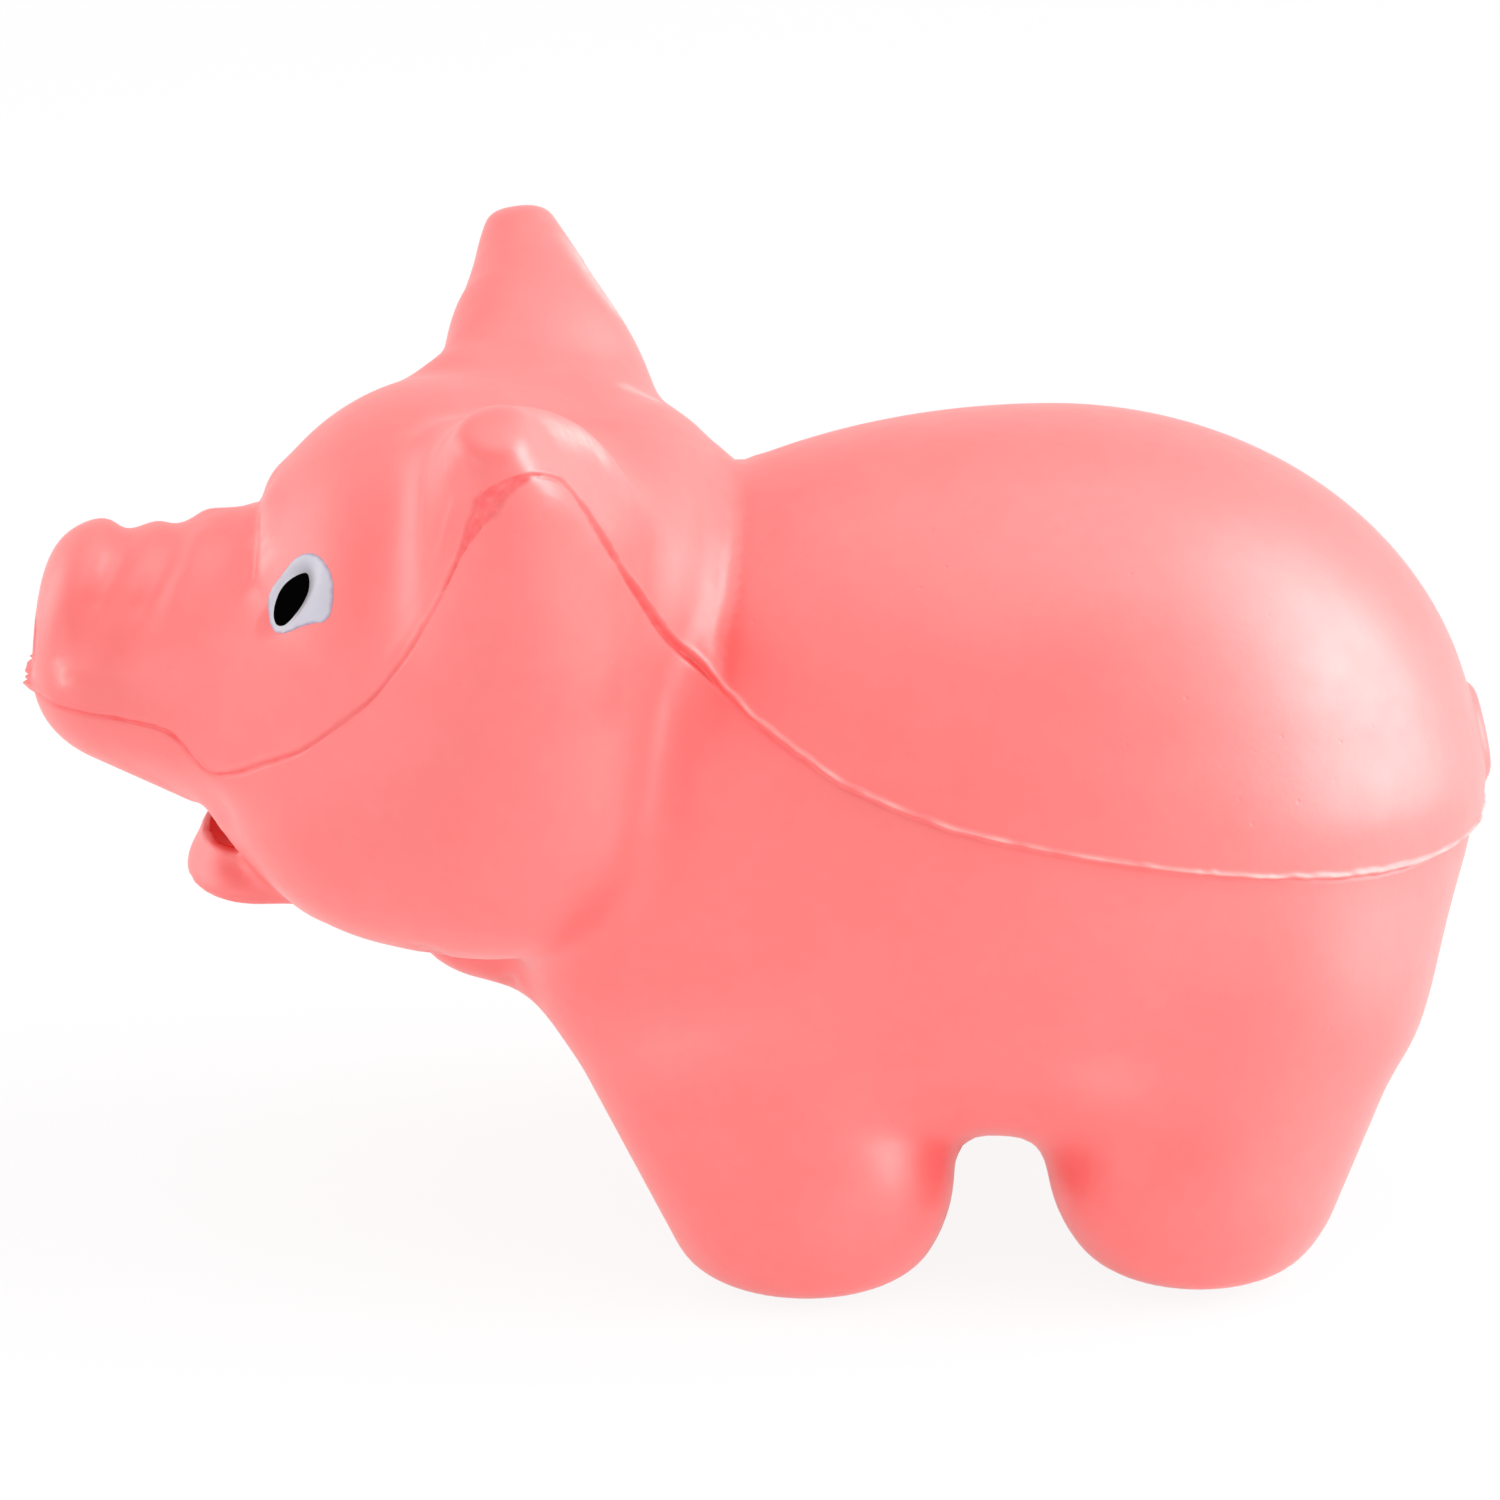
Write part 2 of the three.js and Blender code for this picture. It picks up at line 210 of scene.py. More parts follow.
@dataclass(frozen=True)
class PigForm:
    """The moulding's round forms and the one surface that they flow into."""

    torso: Egg = Egg((20.0, 0.0, 31.5), 29.1, 38.8, 24.1, 24.7, 27.9)
    skull: Egg = Egg((-20.6, 0.0, 40.0), 16.9, 16.0, 20.4, 18.4, 13.9)
    nape: Egg = Egg((-8.3, 0.0, 45.2), 7.7, 7.7, 16.3, 11.1, 11.1)
    jowl: Egg = Egg((-20.9, 8.7, 32.7), 14.7, 14.6, 12.3, 10.6, 10.6)
    lip: Egg = Egg((-34.1, 0.0, 24.4), 5.3, 5.4, 8.0, 3.1, 1.2)
    throat: Egg = Egg((-16.4, 0.0, 19.6), 7.3, 7.3, 7.8, 3.1, 3.1)
    lip_rim: Egg = Egg((-36.1, 0.0, 27.3), 2.2, 2.2, 5.2, 2.4, 3.2)
    mouth: Egg = Egg((-35.9, 0.0, 29.1), 3.6, 3.0, 8.0, 2.3, 2.5)
    mouth_corner: Taper = Taper((-33.7, 6.0, 31.3), 3.6, (-28.9, 8.5, 27.1), 2.7)
    front_leg: Taper = Taper((-3.5, 7.0, 21.4), 11.8, (3.1, 13.3, 7.0), 10.1)
    rear_leg: Taper = Taper((33.6, 10.0, 18.5), 10.6, (29.6, 12.9, 8.1), 10.15)
    snout: Taper = Taper((-31.8, 0.0, 38.4), 11.2, (-46.9, 0.0, 41.3), 7.5)
    ear_front: Taper = Taper((-15.9, 9.8, 52.6), 6.0, (-16.8, 26.0, 62.3), 2.5)
    ear_back: Taper = Taper((-11.5, 9.8, 48.5), 6.4, (-14.8, 21.3, 58.5), 2.7)
    ear_root: Taper = Taper((-16.5, 12.4, 34.2), 10.9, (-15.0, 17.9, 54.5), 5.8)
    ear_wall: Taper = Taper((-15.4, 18.0, 47.0), 6.4, (-15.5, 24.8, 58.8), 2.9)
    ear_lobe: Taper = Taper((-19.6, 9.0, 55.2), 3.3, (-18.2, 17.0, 58.2), 2.1)
    ear_top: tuple[Point, Point] = ((-17.0, 25.4, 64.2), (-0.1, 0.34, 0.93))
    ear_slant: tuple[Point, Point] = ((-13.6, 25.0, 62.1), (0.84, 0.18, 0.51))
    belly_height: float = 8.4
    snout_face: float = -49.7
    snout_lean: float = 0.12
    snout_face_low: float = 3.0
    wrinkles: tuple[Wrinkle, ...] = (Wrinkle(-42.8, 1.0), Wrinkle(-39.7, 0.85))
    wrinkle_width: float = 1.5
    wrinkle_lean: float = 0.5
    bridge_height: float = 48.0
    wrinkle_fade: tuple[float, float] = (41.0, 45.0)
    flows: Flows = Flows()
    slope_step: float = 0.01
    least_slope: float = 0.25
    longest_move: float = 2.5

    def single(self) -> list[Egg | Taper]:
        """The forms that lie across the middle."""
        return [self.torso, self.skull, self.nape, self.lip, self.lip_rim, self.throat, self.snout]

    def paired(self) -> list[Egg | Taper]:
        """The forms that both sides have, as they stand on the right."""
        ear = [self.ear_front, self.ear_back, self.ear_root, self.ear_wall, self.ear_lobe]
        return [self.jowl, self.mouth_corner, self.front_leg, self.rear_leg, *ear]

    def _with_ear(self, head: np.ndarray, p: np.ndarray) -> np.ndarray:
        """Distance outside the head and an ear, whose tip is cut flat along its top and its rear edge."""
        width = self.flows
        lobes = flow(self.ear_front.outside(p), self.ear_back.outside(p), width.ear_lobes)
        lobes = flow(lobes, self.ear_lobe.outside(p), width.small_lobe)
        wall = flow(self.ear_root.outside(p), self.ear_wall.outside(p), width.ear_wall)
        ear = flow(lobes, wall, width.ear_root)
        for place, facing in (self.ear_slant, self.ear_top):
            ear = trim(ear, (p - np.array(place)) @ unit(np.array(facing)), width.ear_cut)
        return flow(head, ear, width.ear_foot)

    def _snout(self, p: np.ndarray) -> np.ndarray:
        """Distance outside the wrinkled snout with its flat disc."""
        low, high = self.wrinkle_fade
        fade = np.clip((p[:, 2] - low) / (high - low), 0, 1)
        across = p[:, 0] + self.wrinkle_lean * (self.bridge_height - p[:, 2])
        rod = self.snout.outside(p)
        for wrinkle in self.wrinkles:
            rod = rod + wrinkle.depth * fade * bell(across, wrinkle.place, self.wrinkle_width)
        face = self.snout_face + self.snout_lean * (p[:, 2] - self.snout.end[2] + self.snout_face_low)
        return trim(rod, face - p[:, 0], self.flows.snout_face)

    def closed(self, points: np.ndarray) -> np.ndarray:
        """How far each point lies outside the skin as it would be with its mouth closed.

        Args:
            points: Places in millimetres, one in each row.

        Returns:
            One distance for each place.
        """
        p = points * np.array([1.0, 0.0, 1.0]) + np.abs(points) * np.array([0.0, 1.0, 0.0])
        height = p[:, 2]
        width = self.flows
        torso = trim(self.torso.outside(p), self.belly_height - height, width.belly)
        legs = flow(self.front_leg.outside(p), self.rear_leg.outside(p), width.leg_pair)
        body = flow(torso, legs, width.leg_low + width.leg_more * ease(height, *width.leg_heights))
        head = flow(self.skull.outside(p), self.nape.outside(p), width.nape)
        head = flow(head, self.jowl.outside(p), width.jowl)
        head = flow(head, self.mouth_corner.outside(p), width.mouth_corner)
        head = self._with_ear(head, p)
        fill = ease(height, *width.snout_low) * (1 - ease(height, *width.snout_high))
        head = flow(head, self._snout(p), width.snout + width.snout_more * fill)
        head = flow(head, flow(self.lip.outside(p), self.lip_rim.outside(p), width.lip), width.chin)
        head = flow(head, self.throat.outside(p), width.throat)
        return trim(flow(body, head, width.neck), -height, width.sole)

    def outside(self, points: np.ndarray) -> np.ndarray:
        """How far each point lies outside the skin, negative inside."""
        return trim(self.closed(points), -self.mouth.outside(points), self.flows.mouth)

    def slope(self, points: np.ndarray) -> tuple[np.ndarray, np.ndarray]:
        """Distance outside the skin and its rate of change along X, Y and Z."""
        step = self.slope_step
        here = self.outside(points)
        rates = [(self.outside(points + step * axis) - here) / step for axis in np.eye(3)]
        return here, np.stack(rates, axis=1)

    def facing(self, points: np.ndarray) -> np.ndarray:
        """Directions in which the skin faces."""
        return unit(self.slope(points)[1])

    def drop(self, points: np.ndarray, rounds: int = 4, level: float = 0.0) -> np.ndarray:
        """Moves points square onto the skin.

        Args:
            points: Places near the skin.
            rounds: How many times the move is corrected.
            level: Height over the skin at which they end.

        Returns:
            The moved places.
        """
        for _ in range(rounds):
            away, rate = self.slope(points)
            move = ((away - level) / np.maximum((rate**2).sum(1), self.least_slope))[:, None] * rate
            points = points - np.clip(move, -self.longest_move, self.longest_move)
        return points


@dataclass(frozen=True)
class PartingSheet:
    """The surface on which the two halves of the mould met: its height over each place along the pig."""

    knots: Marks = (
        (-52.0, 38.3), (-48.3, 38.2), (-45.0, 37.8), (-40.1, 37.6), (-38.5, 36.9), (-37.6, 35.6),
        (-36.4, 35.3), (-35.0, 36.0), (-33.0, 37.3), (-30.2, 38.9), (-25.4, 43.0), (-22.7, 46.7),
        (-20.7, 50.7), (-19.5, 53.8), (-18.4, 56.9), (-17.4, 59.0), (-16.4, 60.2), (-15.4, 60.8),
        (-14.3, 61.1), (-12.7, 60.2), (-11.5, 58.1), (-10.3, 55.5), (-9.1, 52.7), (-7.9, 49.8),
        (-6.6, 47.1), (-5.3, 45.2), (-4.0, 43.9), (-2.0, 42.2), (0.0, 40.8), (5.8, 37.5), (12.3, 35.3),
        (19.4, 33.9), (25.3, 32.8), (32.0, 31.5), (38.2, 30.3), (42.5, 29.6), (52.0, 29.0),
    )
    softness: float = 0.5
    step: float = 0.05

    def table(self) -> tuple[np.ndarray, np.ndarray]:
        """Finely spaced places along the pig and the sheet's rounded height at each."""
        step = self.step
        xs = np.arange(self.knots[0][0], self.knots[-1][0] + step / 2, step)
        heights = np.interp(xs, *np.array(self.knots).T)
        reach = int(3 * self.softness / step)
        spread = np.exp(-0.5 * (np.arange(-reach, reach + 1) * step / self.softness) ** 2)
        padded = np.pad(heights, reach, mode="edge")
        return xs, np.convolve(padded, spread / spread.sum(), mode="valid")


class Seam:
    """The parting line round the whole pig, as evenly spaced points on the skin."""

    spacing: float = 0.25
    stride: float = 0.5
    rump: tuple[float, float] = (40.0, 51.0)
    halvings: int = 30
    fewest: int = 50
    most: int = 2000
    calm_rounds: int = 6

    def __init__(self, form: PigForm, sheet: PartingSheet) -> None:
        """Traces the line.

        Args:
            form: The skin that it runs on.
            sheet: The surface that cuts it from the skin.
        """
        self.form = form
        self.xs, self.heights = sheet.table()
        half = self._trace()
        loop = np.vstack([half, (half * np.array([1.0, -1.0, 1.0]))[-2:0:-1]])
        self.points = self._even(loop)
        self.along = self._calm(unit(np.roll(self.points, -1, axis=0) - np.roll(self.points, 1, axis=0)))
        self.out = self._calm(form.facing(self.points))
        self.across = unit(np.cross(self.along, self.out))
        gaps = np.linalg.norm(np.roll(self.points, -1, axis=0) - self.points, axis=1)
        self.run = np.concatenate([[0.0], np.cumsum(gaps)[:-1]])
        self.length = float(gaps.sum())
        self.tree = kdtree.KDTree(len(self.points))
        for index, place in enumerate(self.points):
            self.tree.insert(place, index)
        self.tree.balance()

    def _pin(self, points: np.ndarray, rounds: int = 4) -> np.ndarray:
        """Moves points onto both the skin and the sheet."""
        for _ in range(rounds):
            away, rate = self.form.slope(points)
            lean = np.interp(points[:, 0], self.xs, np.gradient(self.heights, self.xs))
            over = points[:, 2] - np.interp(points[:, 0], self.xs, self.heights)
            rise = np.stack([-lean, np.zeros(len(points)), np.ones(len(points))], axis=1)
            pair = np.stack([rate, rise], axis=1)
            flip = pair.transpose(0, 2, 1)
            miss = np.stack([away, over], axis=1)[:, :, None]
            points = points - (flip @ np.linalg.solve(pair @ flip, miss))[:, :, 0]
        return points

    def _direction(self, point: np.ndarray) -> np.ndarray:
        """The line's direction at one point on it."""
        rate = self.form.slope(point[None])[1][0]
        lean = float(np.interp(point[0], self.xs, np.gradient(self.heights, self.xs)))
        return unit(np.cross(rate, np.array([-lean, 0.0, 1.0])))

    def _trace(self) -> np.ndarray:
        """Follows the line along the left side, from the middle of the rump to the middle of the snout."""
        inner, outer = self.rump
        for _ in range(self.halvings):
            middle = (inner + outer) / 2
            spot = np.array([[middle, 0.0, np.interp(middle, self.xs, self.heights)]])
            inside = self.form.outside(spot)[0] < 0
            inner, outer = (middle, outer) if inside else (inner, middle)
        points = [np.array([inner, 0.0, np.interp(inner, self.xs, self.heights)])]
        heading = np.array([0.0, -1.0, 0.0])
        while points[-1][1] <= 0 or len(points) < self.fewest:
            way = self._direction(points[-1])
            way = way if way @ heading > 0 else -way
            heading = way
            points.append(self._pin((points[-1] + self.stride * way)[None], 2)[0])
            if len(points) > self.most:
                raise RuntimeError("the parting line doesn't close")
        last, before = points[-1], points[-2]
        share = before[1] / (before[1] - last[1])
        points[-1] = self._pin((before + share * (last - before))[None])[0]
        points[-1][1] = 0.0
        return np.array(points)

    def _even(self, loop: np.ndarray) -> np.ndarray:
        """Spaces a closed line evenly."""
        closed = np.vstack([loop, loop[:1]])
        run = np.concatenate([[0.0], np.cumsum(np.linalg.norm(np.diff(closed, axis=0), axis=1))])
        count = int(round(run[-1] / self.spacing))
        wanted = np.arange(count) * run[-1] / count
        return self._pin(np.stack([np.interp(wanted, run, closed[:, k]) for k in range(3)], axis=1))

    def _calm(self, vectors: np.ndarray) -> np.ndarray:
        """Evens out directions along the line."""
        for _ in range(self.calm_rounds):
            vectors = np.roll(vectors, 1, axis=0) + 2 * vectors + np.roll(vectors, -1, axis=0)
            vectors = unit(vectors)
        return vectors

    def near(self, points: np.ndarray) -> tuple[np.ndarray, np.ndarray, np.ndarray]:
        """Finds where points lie beside the line.

        Args:
            points: Places in millimetres.

        Returns:
            For each place the index of the nearest point of the line, the distance across it, positive
            above, and the distance along it from that point.
        """
        index = np.array([self.tree.find(place)[1] for place in points])
        way = points - self.points[index]
        ahead = (way * self.along[index]).sum(1)
        side = way - ahead[:, None] * self.along[index]
        sign = np.where((side * self.across[index]).sum(1) < 0, -1.0, 1.0)
        return index, sign * np.linalg.norm(side, axis=1), ahead


@dataclass(frozen=True)
class Stroke:
    """A fold, ridge or notch modelled along the skin, or a highlight painted on it. Its route is given on
    the left side.
    """

    name: str
    route: tuple[Point, ...]
    height: float
    width: float
    sides: tuple[Side, ...] = (Side.LEFT, Side.RIGHT)
    taper: float = 3.0

    def over(self, points: np.ndarray) -> np.ndarray:
        """What the stroke adds at each point.

        Args:
            points: Places on the skin.

        Returns:
            Heights in millimetres, negative for a groove, or a painted highlight's strengths.
        """
        return sum(self._on_left(points * np.array([1, -side.value, 1])) for side in self.sides)

    def _on_left(self, points: np.ndarray) -> np.ndarray:
        """What the stroke adds on the left."""
        route = np.array(self.route)
        legs = np.diff(route, axis=0)
        lengths = np.linalg.norm(legs, axis=1)
        starts = np.concatenate([[0.0], np.cumsum(lengths)[:-1]])
        near = np.full(len(points), np.inf)
        run = np.zeros(len(points))
        for first, leg, length, start in zip(route, legs, lengths, starts):
            share = np.clip((points - first) @ leg / length**2, 0, 1)
            away = np.linalg.norm(points - first - share[:, None] * leg, axis=1)
            run = np.where(away < near, start + share * length, run)
            near = np.minimum(near, away)
        total = float(lengths.sum())
        ends = ease(np.minimum(run, total - run), -0.2 * self.taper, self.taper)
        return self.height * ends * bell(near, 0, self.width)


@dataclass(frozen=True)
class TailCurl:
    """The tail, a low curl on the rump."""

    height: float = 33.0
    outer: float = 4.5
    inner: float = 1.2
    turns: float = 1.1
    start_angle: float = -80.0
    thick: float = 1.2
    sunk: float = 0.65
    tip: float = 0.85
    fillet: float = 0.3
    steps: int = 160

    def relief(self, points: np.ndarray) -> np.ndarray:
        """Height of the tail over the rump, seen from behind."""
        share = np.linspace(0, 1, self.steps)
        angle = np.radians(self.start_angle + 360 * self.turns * share)
        radius = self.outer + (self.inner - self.outer) * share
        ys, zs = radius * np.cos(angle), self.height + radius * np.sin(angle)
        away = np.hypot(points[:, 1:2] - ys[None], points[:, 2:3] - zs[None])
        nearest = away.argmin(axis=1)
        near = away[np.arange(len(points)), nearest]
        thick = self.thick * (1 - (1 - self.tip) * share[nearest])
        dome = np.sqrt(np.maximum(thick**2 - near**2, 0)) - self.sunk
        height = trim(dome, np.zeros(len(points)), self.fillet) - self.fillet / 4
        return np.where(points[:, 0] > 0, np.maximum(height, 0), 0)


@dataclass(frozen=True)
class SeamRelief:
    """What the mould's parting line looks like along its course.

    Marks pair a place along the pig with a size in millimetres or a strength from 0 to 1.
    """

    seam: Seam
    proud: Marks = ((-49, 0.0), (-12, 0.0), (-6, 0.2), (0, 0.22), (20, 0.3), (34, 0.42), (46, 0.6))
    ridge: Marks = (
        (-49, 0.08), (-38, 0.04), (-24, 0.04), (-20, 0.06), (-14, 0.05), (-9, 0.14), (0, 0.2),
        (48, 0.2),
    )
    groove: Marks = (
        (-49, 0.24), (-36, 0.2), (-24, 0.12), (-20, 0.03), (-14.5, 0.03), (-13, 0.1), (-8.5, 0.2),
        (-6, 0.28), (-3, 0.13), (4, 0.04), (40, 0.05), (46, 0.09),
    )
    groove_half: Marks = (
        (-49, 0.17), (-36, 0.16), (-24, 0.12), (-13, 0.13), (-8, 0.22), (-6, 0.26), (-3, 0.17),
        (6, 0.12), (48, 0.13),
    )
    flash: Marks = ((-50, 0.6), (-48.5, 0.75), (-46.5, 0.5), (-45, 0.0), (40, 0.0), (44, 0.3), (49, 0.45))
    strip_half: Marks = (
        (-21, 0), (-19.3, 0.1), (-18.4, 0.45), (-17.4, 0.78), (-16.4, 0.66), (-15.4, 0.4),
        (-14.3, 0.12), (-13.6, 0),
    )
    # Strength of the highlight painted on the line's crest along the flank.
    crest_highlight_marks: Marks = ((-49, 0.0), (-6, 0.0), (0, 0.45), (20, 0.5), (30, 0.65), (47, 0.65))
    # Strength of the shade painted along the line's groove.
    red: Marks = (
        (-49, 0.9), (-36, 0.85), (-24, 0.65), (-20, 0.5), (-14, 0.55), (-9, 0.6), (-5.5, 0.6),
        (-2, 0.25), (3, 0.12), (34, 0.1), (46, 0.3),
    )
    red_half: Marks = (
        (-49, 0.24), (-36, 0.22), (-24, 0.15), (-14, 0.13), (-9, 0.18), (-6, 0.26), (-3, 0.18),
        (6, 0.14), (48, 0.15),
    )
    crest_at: float = 0.22
    crest_half: float = 0.16
    groove_at: float = -0.12
    burr_at: float = 0.05
    burr_half: float = 0.17
    red_at: float = -0.08
    step_rise: tuple[float, float] = (-0.06, 0.34)
    step_fade: tuple[float, float] = (2.5, 9.0)
    strip_depth: float = 0.16
    strip_edge: float = 0.16
    left_thins: tuple[float, float] = (3.0, 5.5)
    right_swells: tuple[float, float] = (0.0, 4.0)
    coarse: float = 2.2
    fine: float = 0.55

    def _course(self, marks: Marks) -> np.ndarray:
        """A size at each point of the line from marks of place along the pig and size."""
        return np.interp(self.seam.points[:, 0], *np.array(marks).T)

    def _ragged(self, size: float, seed: int) -> np.ndarray:
        """Noise along the line, from -1 to 1."""
        return lumps(self.seam.points, size, seed)

    def heights(self, index: np.ndarray, across: np.ndarray, points: np.ndarray) -> np.ndarray:
        """Height of the skin over its smooth form beside the line.

        Args:
            index: Nearest point of the line for each place.
            across: Distance across the line, positive above it.
            points: The places themselves.

        Returns:
            Heights in millimetres.
        """
        coarse = self._ragged(self.coarse, 3)
        fine = self._ragged(self.fine, 5)
        ahead, side = self.seam.points[:, 0] < 0, self.seam.points[:, 1]
        ridge = self._course(self.ridge) * (1 + 0.5 * coarse + 0.35 * fine)
        groove = self._course(self.groove) * (1 + 0.4 * coarse + 0.35 * fine)
        half = self._course(self.groove_half) * (1 + 0.4 * coarse)
        uneven = 1 - 0.6 * ease(-side, *self.left_thins) + 0.9 * ease(side, *self.right_swells) * ahead
        flash = self._course(self.flash) * uneven * np.clip(0.7 + 0.7 * coarse + 0.6 * fine, 0.15, 1.4)
        shift = 0.1 * coarse + 0.07 * fine
        d = across - shift[index]
        height = self._course(self.proud)[index] * ease(d, *self.step_rise) * (1 - ease(d, *self.step_fade))
        height += ridge[index] * bell(d, self.crest_at, self.crest_half)
        height -= groove[index] * bell(d, self.groove_at, half[index])
        height += flash[index] * bell(d, self.burr_at, self.burr_half)
        grain = lumps(points, 0.5, 11) + 0.7 * lumps(points, 0.27, 13)
        cut = self._cut(index, across)
        edge = np.clip(4 * cut * (1 - cut), 0, 1) * self._cut_half()[index]
        return height + cut * (0.12 * grain - self.strip_depth) + self.strip_edge * edge

    def _cut_half(self) -> np.ndarray:
        """Half the width of the strip at each ear's front where the flash was cut off."""
        return np.maximum(self._course(self.strip_half) * (1 + 0.25 * self._ragged(0.9, 23)), 0)

    def _cut(self, index: np.ndarray, across: np.ndarray) -> np.ndarray:
        """Whether places lie on the strip where the flash was cut off, from 0 to 1."""
        half = self._cut_half()[index]
        return np.where(half > 0.04, 1 - ease(np.abs(across), half - 0.05, half + 0.11), 0)

    def crest_highlight(self, index: np.ndarray, across: np.ndarray) -> np.ndarray:
        """How strongly a highlight is painted on the line's crest along the flank, from 0 to 1."""
        pale = self._course(self.crest_highlight_marks) * np.clip(1 + 0.9 * self._ragged(1.2, 37), 0, 1.6)
        return pale[index] * bell(across, self.crest_at, self.crest_half)

    def redness(self, index: np.ndarray, across: np.ndarray, points: np.ndarray) -> np.ndarray:
        """How much deeper the colour is, from 0 to 1: shade painted along the groove under the line, and
        the real trimmed strips at the ears' fronts where the flash was cut off.
        """
        red = self._course(self.red) * np.clip(1 + 0.7 * self._ragged(1.6, 17), 0, 1.3)
        line = bell(across, self.red_at, self._course(self.red_half)[index])
        speckle = 0.75 + 0.35 * lumps(points, 0.3, 19)
        patch = self._cut(index, across) * np.clip(0.72 + 0.5 * lumps(points, 0.45, 29), 0.25, 1)
        return np.clip(np.maximum(red[index] * line * speckle, patch), 0, 1)


@dataclass(frozen=True)
class Nostril:
    """A shallow round-ended pit in the snout's disc."""

    apart: float = 3.3
    height: float = 41.2
    wide: float = 1.2
    tall: float = 1.8
    deep: float = 1.3
    wall: tuple[float, float] = (0.35, 1.15)
    disc: float = -46.0

    def relief(self, points: np.ndarray) -> np.ndarray:
        """Depth of the pits, as negative heights."""
        across = (np.abs(points[:, 1]) - self.apart) / self.wide
        along = (points[:, 2] - self.height) / self.tall
        pit = -self.deep * (1 - ease(np.hypot(across, along), *self.wall))
        return np.where(points[:, 0] < self.disc, pit, 0)


class Bench:
    """Blender's tools as a modeller uses them on one object at a time."""

    @staticmethod
    def pick(*objects: bpy.types.Object) -> None:
        """Selects only these objects and makes the first one active."""
        bpy.ops.object.select_all(action="DESELECT")
        for obj in objects:
            obj.select_set(True)
        bpy.context.view_layer.objects.active = objects[0]

    @staticmethod
    def ball(name: str, segments: int = 32, rings: int = 20) -> bpy.types.Object:
        """A ball of radius 1 at the origin."""
        bpy.ops.object.select_all(action="DESELECT")
        bpy.ops.mesh.primitive_uv_sphere_add(
            segments=segments, ring_count=rings, radius=1, location=(0, 0, 0))
        obj = bpy.context.object
        obj.name = name
        return obj

    @classmethod
    def egg(cls, form: Egg, side: int = 1) -> bpy.types.Object:
        """A ball drawn out to the half-lengths of a form."""
        obj = cls.ball("form")
        places = cls.places(obj.data)
        half = np.stack([
            np.where(places[:, 0] < 0, form.ahead, form.rear),
            np.full(len(places), form.side),
            np.where(places[:, 2] < 0, form.down, form.up),
        ], axis=1)
        cls.move(obj.data, (places * half + np.array(form.at)) * np.array([1, side, 1]))
        return obj

    @classmethod
    def rod(cls, form: Taper, side: int = 1) -> bpy.types.Object:
        """Two balls and the hull round them."""
        turn = np.array([1, side, 1])
        ends = []
        for at, radius in ((form.start, form.thick), (form.end, form.thin)):
            ball = cls.ball("form")
            cls.move(ball.data, (cls.places(ball.data) * radius + np.array(at)) * turn)
            ends.append(ball)
        cls.pick(*ends)
        bpy.ops.object.join()
        bpy.ops.object.mode_set(mode="EDIT")
        bpy.ops.mesh.select_all(action="SELECT")
        bpy.ops.mesh.convex_hull()
        bpy.ops.object.mode_set(mode="OBJECT")
        return ends[0]

    @classmethod
    def remesh(cls, obj: bpy.types.Object, size: float) -> None:
        """Makes one closed skin of even faces round all that the object holds."""
        cls.pick(obj)
        modifier = obj.modifiers.new("Skin", "REMESH")
        modifier.mode = "VOXEL"
        modifier.voxel_size = size
        bpy.ops.object.modifier_apply(modifier=modifier.name)

    @classmethod
    def carve(cls, obj: bpy.types.Object, tool: bpy.types.Object) -> None:
        """Cuts a tool's shape out of an object and removes the tool."""
        cls.pick(obj)
        modifier = obj.modifiers.new("Opening", "BOOLEAN")
        modifier.operation = "DIFFERENCE"
        modifier.solver = "EXACT"
        modifier.object = tool
        bpy.ops.object.modifier_apply(modifier=modifier.name)
        bpy.data.objects.remove(tool)

    @classmethod
    def pick_faces(cls, obj: bpy.types.Object, inside: Callable[[np.ndarray], np.ndarray]) -> None:
        """Opens an object for editing, with the faces selected whose middles pass a test."""
        mesh = obj.data
        middles = np.empty(len(mesh.polygons) * 3)
        mesh.polygons.foreach_get("center", middles)
        wanted = inside(middles.reshape(-1, 3))
        cls.pick(obj)
        bpy.ops.object.mode_set(mode="EDIT")
        bpy.ops.mesh.select_mode(type="FACE")
        bpy.ops.mesh.select_all(action="DESELECT")
        bpy.ops.object.mode_set(mode="OBJECT")
        mesh.polygons.foreach_set("select", wanted)
        bpy.ops.object.mode_set(mode="EDIT")

    @classmethod
    def refine(cls, obj: bpy.types.Object, inside: Callable[[np.ndarray], np.ndarray]) -> None:
        """Halves the edges of the faces whose middles pass a test."""
        cls.pick_faces(obj, inside)
        bpy.ops.mesh.subdivide(number_cuts=1)
        bpy.ops.object.mode_set(mode="OBJECT")

    @staticmethod
    def places(mesh: bpy.types.Mesh) -> np.ndarray:
        """The mesh's corners, one in each row."""
        flat = np.empty(len(mesh.vertices) * 3)
        mesh.vertices.foreach_get("co", flat)
        return flat.reshape(-1, 3)

    @staticmethod
    def move(mesh: bpy.types.Mesh, places: np.ndarray) -> None:
        """Gives the mesh's corners new places."""
        mesh.vertices.foreach_set("co", places.ravel())
        mesh.update()

    @staticmethod
    def mark(mesh: bpy.types.Mesh, **values: np.ndarray) -> None:
        """Gives the mesh's corners named numbers that its finish reads."""
        for name, numbers in values.items():
            shade = mesh.attributes.new(name, "FLOAT", "POINT")
            shade.data.foreach_set("value", numbers.astype(np.float32))

    @staticmethod
    def edges(mesh: bpy.types.Mesh) -> np.ndarray:
        """Pairs of corners that an edge joins."""
        flat = np.empty(len(mesh.edges) * 2, dtype=np.int64)
        mesh.edges.foreach_get("vertices", flat)
        return flat.reshape(-1, 2)

